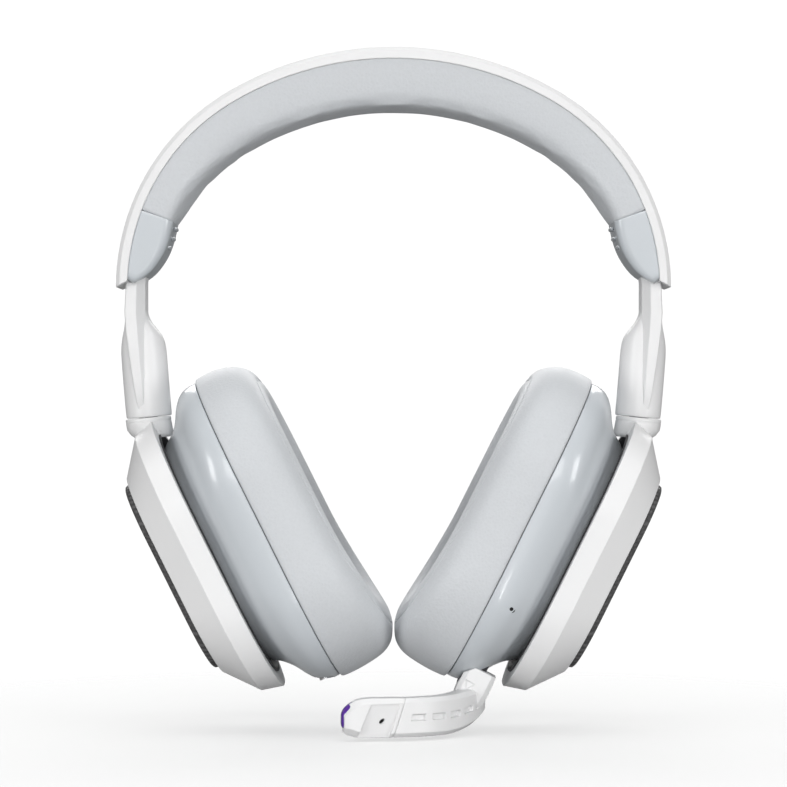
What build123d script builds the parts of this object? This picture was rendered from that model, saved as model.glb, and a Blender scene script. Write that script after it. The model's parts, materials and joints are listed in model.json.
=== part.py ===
from build123d import *
import os
from math import cos, degrees, radians, sin

# A wireless gaming headset with sliding arms, turning cups and a plug-in boom microphone.
# Millimetres. +Z is up, the wearer faces -Y, and the wearer's left is +X.
# The origin is the middle of the headband cushion's underside, where it rests on a head.
# u runs up along a cup, v runs from a cup towards the head, and a cup's plane faces outwards.

SIDES = ((1, "left"), (-1, "right"))

# Headband
band_thickness = 16.6
band_half_width = 86.65
crown_radius = 102.5
crown_angle = 30
inner_crown_radius = 91.7
end_wall = 11.8
band_end_z = -58.0
end_slope = 29
band_width_crown = 36.0
band_width_end = 28.0
arch_reach = 80.0
shell_thickness = 3.6
shell_chamfer = 1.2
skin_gap = 0.1
channel_width = 24.0
channel_depth = 2.4
spring_thickness = 0.8
spring_width = 20.0
cable_thickness = 0.6
cable_width = 6.0
seam_angle = 21.5
seam_gap = 0.3
strip_angle = 34
band_screw_angles = (38, 52)
screw_radius = 1.0
screw_head_radius = 2.0
screw_head_height = 0.9
screw_depth = 2.2

# Sliding arms
exit_inset = 5.85
exit_rise = 1.3
slide_lean = 11
strap_width = 18.0
strap_thickness = 4.4
strap_inside = 20.0
neck_thickness = 5.8
neck_drop = 8.7
neck_shift = 0.55
barrel_shift = 1.3
barrel_drop = 19.2
barrel_length = 23.1
barrel_lean = 5
barrel_top_radius = 7.2
barrel_radius = 6.65
slide_clearance = 0.25
rail_width = 12.0
rail_thickness = 1.2
slide_travel = 22.0
rail_engagement = 9.0
rail_inside = slide_travel + rail_engagement
rail_start = 3.3
pocket_overlap = 3.0
pocket_spare = 1.0
detent_length = 9.0
detent_width = 8.0
detent_thickness = 0.4
detent_foot = 1.4
detent_height = 10.0

# Swivel
swivel_gap = 0.3
swivel_pin_radius = 3.0
swivel_pin_bore = 1.4
swivel_pin_in_arm = 12.0
swivel_pin_in_yoke = 7.0
running_clearance = 0.05
collar_length = 3.4
neck_embed = 6.0
neck_root_depth = 6.8

# Cups
cup_lean = 26.5
rim_height = 101.8
rim_width = 82.2
rim_radius = 33.0
cup_wall = 2.2
cup_mouth = 16.5
seam_above_frame = 1.5
seam_inside = -2.5

# Yoke frame
frame_height = 93.0
frame_width = 71.0
frame_back = -16.0
frame_front = -1.5
frame_ridge = -8.0
plate_thickness = 2.8
liner_thickness = 0.8
tilt_pivot = -5.0
tilt_pin_radius = 2.0
tilt_pin_inner = 20.0
tilt_pin_outer = 33.5
tilt_boss_radius = 4.0

# Speaker tag
tag_height = 63.5
tag_width = 55.0
tag_radius = 17.0
tag_thickness = 1.6
tag_recess = 0.6
tag_gap = 0.15
magnet_radius = 2.5
magnet_thickness = 1.2
magnet_spacing_u = 40.0
magnet_spacing_y = 30.0

# Driver
baffle_thickness = 2.5
fit_gap = 0.25
driver_radius = 26.5
driver_opening = 23.6
driver_depth = 9.8
driver_flange = 1.6
basket_radius = 15.5
driver_wall = 1.2
magnet_disc_radius = 13.5
magnet_disc_depth = 3.0
diaphragm_thickness = 0.5
cup_screw_spacing_u = 52.0
cup_screw_spacing_y = 50.0
cup_boss_radius = 3.0
cup_screw_length = 6.5
cup_boss_length = 8.0
battery_size = (28.0, 38.0, 3.4)
board_size = (42.0, 30.0, 1.6)
chip_size = (9.0, 9.0, 1.4)

# Ear cushions
pad_height = 104.0
pad_width = 84.0
pad_radius = 34.5
pad_hole_height = 62.0
pad_hole_width = 42.0
pad_hole_radius = 20.0
pad_face = 35.8
pad_face_slope = 2.8
pad_edge = 12.0
pad_inner_edge = 5.0
pad_back_edge = 2.0
scrim_thickness = 0.6

# Sockets, port and controls
socket_v = 9.6
mic_y = 18.5
jack_y = 17.0
plug_radius = 1.75
jack_bore_radius = 1.8
jack_depth = 14.0
socket_radius = 3.75
port_y = 12.0
port_v = 11.5
port_width = 8.9
port_height = 3.2
port_depth = 7.0
port_wall = 0.3
port_bezel = 1.1
control_v = 12.0
button_radius = 1.7
button_proud = 0.9
button_length = 5.0
power_u = 12.0
pairing_u = -12.0
light_u = -18.0
light_radius = 0.9
roller_radius = 6.0
roller_thickness = 3.0
roller_proud = 1.4
axle_radius = 1.0
axle_length = 4.2
roller_v = 11.8
socket_recess = 2.2
sliver_gap = 0.05
roller_slot_gap = 0.4
mute_u = 8.0
mute_length = 5.0
mute_height = 2.4
mute_proud = 1.0
mute_travel = 2.5
inner_mic_u = -25.0
inner_mic_v = 9.0
inner_mic_radius = 2.0
inner_mic_hole = 0.6
inner_mic_reach = 5.0

# Boom microphone
boom_height = 11.4
boom_thickness = 7.0
boom_drop = 48.65
boom_radius = 23.3
boom_root_angle = 8
boom_flex_angle = 44
boom_end_angle = 80
boom_edge = 1.6
knuckle_gap = 0.15
knuckle_trim = 1.3
slot_count = 5
slot_length = 4.2
slot_height = 3.4
slot_depth = 1.2
head_length = 17.4
head_thickness = 7.4
root_v_in = 13.3
root_v_out = 3.0
root_top_u = -45.5
root_depth_y = 11.0
root_gap = 0.4
gasket_thickness = 1.2
gasket_inset = 0.6
plug_length = 12.0
plug_foot = 7.0
plug_foot_gap = 0.2
mark_width = 3.2
mark_height = 2.4
mark_depth = 0.5
mark_drop = 8.0
head_taper = 3.0
head_swell = 2.0
mic_slot_slant = 30
capsule_radius = 2.4
capsule_depth = 2.6
capsule_hole = 0.7
tip_ring_depth = 2.2
tip_ring_height = 6.0

# Places worked out from the sizes above
lean = radians(cup_lean)
inner_half_width = band_half_width - end_wall
exit_point = (band_half_width - exit_inset, band_end_z + exit_rise)
neck_point = (exit_point[0] + neck_shift, exit_point[1] - neck_drop)
barrel_point = (exit_point[0] - barrel_shift, exit_point[1] - barrel_drop)
seam_point = (
    barrel_point[0] - barrel_length * sin(radians(barrel_lean)),
    barrel_point[1] - barrel_length * cos(radians(barrel_lean)),
)
seam_u = frame_height / 2 + seam_above_frame
cup_point = (
    seam_point[0] - seam_u * sin(lean) + seam_inside * cos(lean),
    seam_point[1] - seam_u * cos(lean) - seam_inside * sin(lean),
)

# Outlines of the cup's rounded rectangles: v, height in u, width in y, corner radius
waist_back = (-7.6, rim_height - 44, rim_width - 34, 20)
waist_front = (0.0, rim_height - 24.8, rim_width - 25.2, 27)
flare_low = (5.2, rim_height - 17.8, rim_width - 18.2, 30)
flare_high = (8.0, rim_height - 6.8, rim_width - 7.2, 32)
rim_low = (11.5, rim_height - 0.6, rim_width - 0.6, rim_radius)
rim_high = (cup_mouth, rim_height, rim_width, rim_radius)
HOUSING = (waist_back, waist_front, flare_low, flare_high, rim_low, rim_high)

frame_outer = (frame_back, frame_height - 25, frame_width - 7, 22)
frame_middle = (frame_ridge, frame_height - 4, frame_width + 4, 30)
frame_inner = (frame_front, frame_height, frame_width, 31)
FRAME = (frame_outer, frame_middle, frame_inner)

tray_floor = frame_back + plate_thickness
tray_back = (tray_floor, frame_height - 29, frame_width - 17, 18)
tray_middle = (frame_ridge + 2, frame_height - 11, frame_width - 11, 26)
tray_front = (frame_front + 0.5, frame_height - 9.5, frame_width - 10, 27)
TRAY = (tray_back, tray_middle, tray_front)


def cup_plane(side, v=0.0, u=0.0):
    """A plane across a cup: its z faces outwards, its y is u, and its x is side * Y."""
    x = cup_point[0] + u * sin(lean) - v * cos(lean)
    z = cup_point[1] + u * cos(lean) + v * sin(lean)
    return Plane(origin=(side * x, 0, z), x_dir=(0, side, 0), z_dir=(side * cos(lean), 0, -sin(lean)))


def socket_plane(side, u, v, y):
    """A plane at a cup's lower edge, facing down along the cup, whose x is outwards."""
    x = cup_point[0] + u * sin(lean) - v * cos(lean)
    z = cup_point[1] + u * cos(lean) + v * sin(lean)
    down = (-side * sin(lean), 0, -cos(lean))
    return Plane(origin=(side * x, y, z), x_dir=(side * cos(lean), 0, -sin(lean)), z_dir=down)


def control_plane(side, u, v, reach):
    """A plane on a cup's rear wall, facing rearwards, whose y is u."""
    x = cup_point[0] + u * sin(lean) - v * cos(lean)
    z = cup_point[1] + u * cos(lean) + v * sin(lean)
    inwards = (-side * cos(lean), 0, sin(lean))
    return Plane(origin=(side * x, reach, z), x_dir=tuple(side * c for c in inwards), z_dir=(0, 1, 0))


def slide_plane(side, up=0.0):
    """A plane across an arm's strap: z is up along the slide, y is inwards, x is side * Y."""
    slope = radians(slide_lean)
    origin = (side * (exit_point[0] - up * sin(slope)), 0, exit_point[1] + up * cos(slope))
    return Plane(origin=origin, x_dir=(0, side, 0), z_dir=(-side * sin(slope), 0, cos(slope)))


def barrel_plane(side, below=0.0):
    """A plane across an arm's barrel, facing down its axis."""
    slope = radians(barrel_lean)
    x = barrel_point[0] - below * sin(slope)
    z = barrel_point[1] - below * cos(slope)
    return Plane(origin=(side * x, 0, z), x_dir=(0, side, 0), z_dir=(-side * sin(slope), 0, -cos(slope)))


def arch(half_width, radius, top, base, mode=Mode.ADD):
    """Fill the area under an arch of three tangent arcs, down to a flat base."""
    slope = radians(crown_angle)
    side_radius = (half_width - radius * sin(slope)) / (1 - sin(slope))
    knee_x = radius * sin(slope)
    knee_z = top - radius * (1 - cos(slope))
    centre_x = knee_x - side_radius * sin(slope)
    centre_z = knee_z - side_radius * cos(slope)
    half_turn = (radians(90) - slope) / 2
    middle_x = centre_x + side_radius * cos(half_turn)
    middle_z = centre_z + side_radius * sin(half_turn)
    with BuildLine() as edge:
        ThreePointArc((-knee_x, knee_z), (0, top), (knee_x, knee_z))
        ThreePointArc((knee_x, knee_z), (middle_x, middle_z), (half_width, centre_z))
        Polyline((half_width, centre_z), (half_width, base), (-half_width, base), (-half_width, centre_z))
        ThreePointArc((-half_width, centre_z), (-middle_x, middle_z), (-knee_x, knee_z))
    make_face(edge.edges(), mode=mode)


def outer_arch(depth, mode=Mode.ADD):
    """The area under the band's outer curve, at a depth below its surface."""
    base = band_end_z - arch_reach
    arch(band_half_width - depth, crown_radius - depth, band_thickness - depth, base, mode)


def inner_arch(mode=Mode.SUBTRACT):
    """The area under the band's inner curve."""
    arch(inner_half_width, inner_crown_radius, 0, band_end_z - arch_reach, mode)


def side_centre():
    """The centre and radius of the band's outer side arc, on the left."""
    slope = radians(crown_angle)
    side_radius = (band_half_width - crown_radius * sin(slope)) / (1 - sin(slope))
    centre_x = band_half_width - side_radius
    centre_z = band_thickness - crown_radius * (1 - cos(slope)) - side_radius * cos(slope)
    return centre_x, centre_z, side_radius


def below_angle(side, angle, gap, mode):
    """The area of the band's side that lies below a radial line."""
    x, z, radius = side_centre()
    slope = radians(angle)
    near = (x + radius / 2 * cos(slope) + gap * sin(slope), z + radius / 2 * sin(slope) - gap * cos(slope))
    far = (x + radius * 1.2 * cos(slope) + gap * sin(slope), z + radius * 1.2 * sin(slope) - gap * cos(slope))
    base = band_end_z - 2 * arch_reach
    points = [near, far, (far[0], base), (near[0], base)]
    with BuildLine() as edge:
        Polyline(*[(side * px, pz) for px, pz in points], close=True)
    make_face(edge.edges(), mode=mode)


def below_end(side):
    """Cut the band off along the slanted end that the arm slides out of."""
    slope = radians(end_slope)
    tip = (band_half_width, band_end_z)
    outer = (tip[0] + 2 * end_wall * cos(slope), tip[1] - 2 * end_wall * sin(slope))
    inner = (tip[0] - 2 * end_wall * cos(slope), tip[1] + 2 * end_wall * sin(slope))
    base = band_end_z - 2 * arch_reach
    points = [outer, inner, (inner[0], base), (outer[0], base)]
    with BuildLine() as edge:
        Polyline(*[(side * px, pz) for px, pz in points], close=True)
    make_face(edge.edges(), mode=Mode.SUBTRACT)


def narrow(inset):
    """Trim a band part to the width that tapers from the crown to the ends."""
    top = band_thickness + 1
    crown = band_width_crown / 2 - inset
    end = band_width_end / 2 - inset
    with BuildSketch(Plane.YZ) as front:
        with BuildLine():
            Polyline((-crown, top), (crown, top), (end, band_end_z), (end, band_end_z - 2 * arch_reach),
                     (-end, band_end_z - 2 * arch_reach), (-end, band_end_z), close=True)
        make_face()
    extrude(front.sketch, amount=band_half_width + 1, both=True, mode=Mode.INTERSECT)


def band_plane(side, angle, depth):
    """A plane inside the band's side, at a depth below its outer surface, facing outwards."""
    x, z, radius = side_centre()
    slope = radians(angle)
    reach = radius - depth
    origin = (side * (x + reach * cos(slope)), 0, z + reach * sin(slope))
    return Plane(origin=origin, x_dir=(0, 1, 0), z_dir=(side * cos(slope), 0, sin(slope)))


def stack(side, outlines, inset=0.0, v_shift=0.0, mode=Mode.ADD):
    """Loft rounded rectangles across a cup, one after the other, with straight sides."""
    sections = []
    for v, height, width, radius in outlines:
        with BuildSketch(cup_plane(side, v + v_shift)) as section:
            RectangleRounded(width - 2 * inset, height - 2 * inset, radius - inset)
        sections.append(section.sketch)
    loft(sections, ruled=True, mode=mode)


def outline_at(outlines, v):
    """The rounded rectangle of a stack where it crosses v."""
    for low, high in zip(outlines, outlines[1:]):
        if low[0] <= v <= high[0]:
            part = (v - low[0]) / (high[0] - low[0])
            return tuple(a + part * (b - a) for a, b in zip(low, high))
    return outlines[-1]


def lower_edge(outlines, v, y):
    """How far down in u a stack's outline reaches at v and y."""
    _, height, width, radius = outline_at(outlines, v)
    beyond = max(0.0, abs(y) - (width / 2 - radius))
    return -(height / 2 - radius) - (radius**2 - beyond**2) ** 0.5


def mic_plan(angle, radius=boom_radius):
    """A point of the boom's curve seen from above, at an angle from straight ahead."""
    slope = radians(angle)
    return boom_centre[0] + radius * cos(slope), boom_centre[1] - radius * sin(slope)


boom_z = cup_point[1] - boom_drop
root_centre_v = (root_v_in + root_v_out) / 2
root_front_y = -mic_y - root_depth_y / 2
root_foot_u = (boom_z - cup_point[1] - root_centre_v * sin(lean)) / cos(lean)
boom_start_x = cup_point[0] + root_foot_u * sin(lean) - root_centre_v * cos(lean)
boom_centre = (
    boom_start_x - boom_radius * cos(radians(boom_root_angle)),
    root_front_y + boom_radius * sin(radians(boom_root_angle)),
)


def boom_sketch(low_angle, high_angle, thickness):
    """The boom's curved stretch seen from above."""
    inner = boom_radius - thickness / 2
    outer = boom_radius + thickness / 2
    middle = (low_angle + high_angle) / 2
    with BuildLine() as edge:
        ThreePointArc(mic_plan(low_angle, inner), mic_plan(middle, inner), mic_plan(high_angle, inner))
        Line(mic_plan(high_angle, inner), mic_plan(high_angle, outer))
        ThreePointArc(mic_plan(high_angle, outer), mic_plan(middle, outer), mic_plan(low_angle, outer))
        Line(mic_plan(low_angle, outer), mic_plan(low_angle, inner))
    make_face(edge.edges())


def boom_slots(angles):
    """Cut the shallow slots that let the arm flex into its outer face."""
    for angle in angles:
        x, y = mic_plan(angle, boom_radius + boom_thickness / 2)
        slope = radians(angle)
        facing = (cos(slope), -sin(slope), 0)
        plane = Plane(origin=(x, y, boom_z), x_dir=(sin(slope), cos(slope), 0), z_dir=facing)
        with BuildSketch(plane) as slot:
            SlotOverall(slot_length, slot_height)
        extrude(slot.sketch, amount=-slot_depth, mode=Mode.SUBTRACT)


def finish(solid, label):
    """Name a finished piece and write it."""
    solid.part.label = label
    export_step(solid.part, f"parts/{label}.step")


def make_headband():
    """The band's shell, spring, cable, cushion and screws."""
    with BuildPart() as shell:
        with BuildSketch(Plane.XZ):
            outer_arch(0)
            outer_arch(shell_thickness, Mode.SUBTRACT)
            for side, _ in SIDES:
                below_end(side)
        extrude(amount=band_width_crown / 2, both=True)
        narrow(0)
        rim = shell.faces().sort_by(Axis.Y)
        chamfered = rim[0].edges().sort_by(Axis.Z)[-1:] + rim[-1].edges().sort_by(Axis.Z)[-1:]
        chamfer(chamfered, shell_chamfer)
        for side, _ in SIDES:
            for angle in band_screw_angles:
                with BuildSketch(band_plane(side, angle, shell_thickness)):
                    Circle(screw_radius)
                extrude(amount=screw_depth, mode=Mode.SUBTRACT)
    finish(shell, "headband_outer_shell")

    spring_top = shell_thickness + skin_gap
    spring_base = spring_top + spring_thickness
    with BuildPart() as spring:
        with BuildSketch(Plane.XZ):
            outer_arch(spring_top)
            outer_arch(spring_base, Mode.SUBTRACT)
            for side, _ in SIDES:
                below_angle(side, strip_angle, 0, Mode.SUBTRACT)
        extrude(amount=spring_width / 2, both=True)
        for side, _ in SIDES:
            for angle in band_screw_angles:
                with BuildSketch(band_plane(side, angle, spring_base + 1)):
                    Circle(screw_radius)
                extrude(amount=spring_thickness + 2, mode=Mode.SUBTRACT)
    finish(spring, "headband_spring_band")

    cable_top = spring_base + screw_head_height / 4
    with BuildPart() as cable:
        with BuildSketch(Plane.XZ):
            outer_arch(cable_top)
            outer_arch(cable_top + cable_thickness, Mode.SUBTRACT)
            for side, _ in SIDES:
                below_angle(side, strip_angle, 0, Mode.SUBTRACT)
        extrude(amount=cable_width)
        narrow(0)
    with BuildPart() as flat_cable:
        add(Pos(0, screw_head_radius + cable_width + 1, 0) * cable.part)
    finish(flat_cable, "headband_cable")

    with BuildPart() as screws:
        for side, _ in SIDES:
            for angle in band_screw_angles:
                with BuildSketch(band_plane(side, angle, spring_base + sliver_gap)):
                    Circle(screw_radius - sliver_gap)
                extrude(amount=spring_base - shell_thickness + screw_depth)
                with BuildSketch(band_plane(side, angle, spring_base + sliver_gap)):
                    Circle(screw_head_radius)
                extrude(amount=-screw_head_height)
    finish(screws, "headband_screws")

    pocket_width = rail_width + 2 * slide_clearance
    with BuildPart() as cushion:
        with BuildSketch(Plane.XZ):
            outer_arch(shell_thickness + skin_gap)
            inner_arch()
            for side, _ in SIDES:
                below_angle(side, seam_angle, -seam_gap, Mode.SUBTRACT)
        extrude(amount=band_width_crown / 2, both=True)
        narrow(0.8)
        with BuildSketch(Plane.XZ):
            outer_arch(shell_thickness)
            outer_arch(shell_thickness + skin_gap + channel_depth, Mode.SUBTRACT)
        extrude(amount=channel_width / 2, both=True, mode=Mode.SUBTRACT)
        for side, _ in SIDES:
            with BuildSketch(slide_plane(side, strap_inside - pocket_overlap)):
                Rectangle(strap_width + 2 * slide_clearance, strap_thickness + 2 * slide_clearance)
            extrude(amount=pocket_overlap + pocket_spare, mode=Mode.SUBTRACT)
            with BuildSketch(slide_plane(side, strap_inside - pocket_overlap)):
                Rectangle(pocket_width, strap_thickness + 2 * slide_clearance)
            extrude(amount=rail_inside - strap_inside + pocket_overlap + pocket_spare, mode=Mode.SUBTRACT)
    finish(cushion, "headband_cushion")


def make_end_cap(side, hand):
    """The casing at one end of the band, and the leaf spring in it."""
    with BuildPart() as cap:
        with BuildSketch(Plane.XZ):
            outer_arch(shell_thickness + skin_gap)
            inner_arch()
            below_angle(side, seam_angle, 0, Mode.INTERSECT)
            below_end(side)
        extrude(amount=band_width_crown / 2, both=True)
        narrow(0.4)
        with BuildSketch(slide_plane(side, -end_wall)):
            Rectangle(strap_width + 2 * slide_clearance, strap_thickness + 2 * slide_clearance)
        extrude(amount=3 * end_wall + strap_inside, mode=Mode.SUBTRACT)
        with BuildSketch(slide_plane(side, detent_height)):
            with Locations((0, strap_thickness / 2 + slide_clearance)):
                Rectangle(detent_width + 1, 4 * detent_thickness)
        extrude(amount=detent_length + 1, mode=Mode.SUBTRACT)
    finish(cap, f"{hand}_end_cap")

    face = strap_thickness / 2 + running_clearance
    base = strap_thickness / 2 + slide_clearance + 2 * detent_thickness
    middle = slide_plane(side, detent_height + detent_length / 2 + 0.5)
    leaf_plane = Plane(origin=middle.origin, x_dir=middle.y_dir, z_dir=middle.x_dir)
    half = detent_length / 2
    with BuildPart() as leaf:
        with BuildSketch(leaf_plane):
            with BuildLine():
                ThreePointArc((base, -half), (face, 0), (base, half))
                Line((base, half), (base, half - detent_foot))
                ThreePointArc((base, half - detent_foot), (face + detent_thickness, 0),
                              (base, detent_foot - half))
                Line((base, detent_foot - half), (base, -half))
            make_face()
        extrude(amount=detent_width / 2, both=True)
    finish(leaf, f"{hand}_detent_spring")


def make_arm(side, hand):
    """The sliding arm with its strap, neck and barrel, its steel rail and the swivel pin."""
    neck = Plane(origin=(side * neck_point[0], 0, neck_point[1]), x_dir=(0, side, 0), z_dir=(0, 0, 1))
    with BuildPart() as arm:
        with BuildSketch(slide_plane(side)):
            Rectangle(strap_width, strap_thickness)
        extrude(amount=strap_inside)
        with BuildSketch(slide_plane(side, -seam_gap)):
            Rectangle(strap_width, neck_thickness)
        with BuildSketch(neck):
            Rectangle(strap_width, neck_thickness + 0.4)
        loft(ruled=True)
        with BuildSketch(slide_plane(side, -exit_rise)):
            Rectangle(strap_width, strap_thickness)
        extrude(amount=exit_rise)
        with BuildSketch(neck):
            Rectangle(strap_width, neck_thickness + 0.4)
        with BuildSketch(barrel_plane(side)):
            Circle(barrel_top_radius)
        loft()
        with BuildSketch(barrel_plane(side)):
            Circle(barrel_top_radius)
        with BuildSketch(barrel_plane(side, barrel_length - swivel_gap)):
            Circle(barrel_radius)
        loft()
        with BuildSketch(barrel_plane(side, barrel_length - swivel_pin_in_arm)):
            Circle(swivel_pin_radius)
        extrude(amount=swivel_pin_in_arm, mode=Mode.SUBTRACT)
        with BuildSketch(slide_plane(side, rail_start)):
            with Locations((0, strap_thickness / 2 - rail_thickness / 2)):
                Rectangle(rail_width, rail_thickness)
        extrude(amount=strap_inside, mode=Mode.SUBTRACT)
    finish(arm, f"{hand}_slider_arm")

    with BuildPart() as rail:
        with BuildSketch(slide_plane(side, rail_start)):
            with Locations((0, strap_thickness / 2 - rail_thickness / 2)):
                Rectangle(rail_width, rail_thickness)
        extrude(amount=rail_inside - rail_start)
    finish(rail, f"{hand}_slider_rail")

    with BuildPart() as pin:
        with BuildSketch(barrel_plane(side, barrel_length - swivel_pin_in_arm)):
            Circle(swivel_pin_radius)
            Circle(swivel_pin_bore, mode=Mode.SUBTRACT)
        extrude(amount=swivel_pin_in_arm + swivel_pin_in_yoke)
    finish(pin, f"{hand}_swivel_pin")


def make_yoke(side, hand):
    """The frame behind a cup, its liner, the tilt pins and the magnets."""
    tag_floor = frame_back + tag_recess
    bore = swivel_pin_radius + running_clearance
    upwards = (side * sin(lean), 0, cos(lean))
    neck_root = Plane(origin=cup_plane(side, 0, frame_height / 2 - neck_embed).origin,
                      x_dir=(0, side, 0), z_dir=upwards)
    with BuildPart() as frame:
        stack(side, FRAME)
        stack(side, TRAY, mode=Mode.SUBTRACT)
        with BuildSketch(barrel_plane(side, barrel_length)):
            Circle(barrel_radius)
        with BuildSketch(barrel_plane(side, barrel_length + collar_length)):
            Circle(barrel_radius)
        loft()
        with BuildSketch(barrel_plane(side, barrel_length + collar_length)):
            Circle(barrel_radius)
        with BuildSketch(neck_root):
            with Locations((0, (frame_ridge + frame_front) / 2)):
                Rectangle(2.4 * barrel_radius, neck_root_depth)
        loft()
        stack(side, TRAY, mode=Mode.SUBTRACT)
        with BuildSketch(barrel_plane(side, barrel_length - 1)):
            Circle(bore)
        extrude(amount=swivel_pin_in_yoke + 1.5, mode=Mode.SUBTRACT)
        with BuildSketch(cup_plane(side, frame_back)):
            RectangleRounded(tag_width + 2 * tag_gap, tag_height + 2 * tag_gap, tag_radius)
        extrude(amount=-tag_recess, mode=Mode.SUBTRACT)
        with BuildSketch(cup_plane(side, tag_floor)):
            with GridLocations(magnet_spacing_y, magnet_spacing_u, 2, 2):
                Circle(magnet_radius)
        extrude(amount=-magnet_thickness, mode=Mode.SUBTRACT)
        with BuildSketch(Plane(origin=cup_plane(side, tilt_pivot).origin, x_dir=(1, 0, 0), z_dir=(0, 1, 0))):
            Circle(tilt_pin_radius)
        extrude(amount=tilt_pin_outer, both=True, mode=Mode.SUBTRACT)
    finish(frame, f"{hand}_yoke_frame")

    pin_plane = Plane(origin=cup_plane(side, tilt_pivot).origin, x_dir=(1, 0, 0), z_dir=(0, 1, 0))
    with BuildPart() as liner:
        stack(side, TRAY, inset=skin_gap / 2)
        stack(side, TRAY, inset=liner_thickness, v_shift=liner_thickness, mode=Mode.SUBTRACT)
        with BuildSketch(pin_plane):
            Circle(tilt_pin_radius + slide_clearance)
        extrude(amount=tilt_pin_outer, both=True, mode=Mode.SUBTRACT)
        with BuildSketch(barrel_plane(side, barrel_length)):
            Circle(swivel_pin_radius + slide_clearance)
        extrude(amount=2 * swivel_pin_in_yoke, mode=Mode.SUBTRACT)
    finish(liner, f"{hand}_yoke_liner")

    with BuildPart() as pins:
        for end in (1, -1):
            with BuildSketch(Plane(origin=pin_plane.origin + Vector(0, end * tilt_pin_inner, 0),
                                   x_dir=(end, 0, 0), z_dir=(0, end, 0))):
                Circle(tilt_pin_radius)
            extrude(amount=tilt_pin_outer - tilt_pin_inner)
    finish(pins, f"{hand}_tilt_pins")

    with BuildPart() as magnets:
        with BuildSketch(cup_plane(side, tag_floor)):
            with GridLocations(magnet_spacing_y, magnet_spacing_u, 2, 2):
                Circle(magnet_radius)
        extrude(amount=-magnet_thickness)
    finish(magnets, f"{hand}_tag_magnets")

    with BuildPart() as tag:
        with BuildSketch(cup_plane(side, tag_floor)):
            RectangleRounded(tag_width, tag_height, tag_radius)
        extrude(amount=tag_thickness)
        edge = tag.faces().sort_by(Axis((0, 0, 0), (side * cos(lean), 0, -sin(lean))))[-1].edges()
        chamfer(edge, tag_recess)
    finish(tag, f"{hand}_speaker_tag")


def boss_sketch(radius):
    """Circles where the cup's four baffle screws go."""
    with GridLocations(cup_screw_spacing_y, cup_screw_spacing_u, 2, 2):
        Circle(radius)


def cut_bottom_hole(side, y, radius, v=socket_v):
    """Cut a round socket hole through a cup's lower wall."""
    with BuildSketch(socket_plane(side, lower_edge(HOUSING, v, y) - cup_wall, v, y)) as hole:
        Circle(radius)
    extrude(hole.sketch, amount=-jack_depth - 3 * cup_wall, mode=Mode.SUBTRACT)


def port_sketch(margin):
    """The charging port's rounded outline, whose length runs front to back."""
    SlotOverall(port_width + 2 * margin, port_height + 2 * margin, rotation=90)


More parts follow.
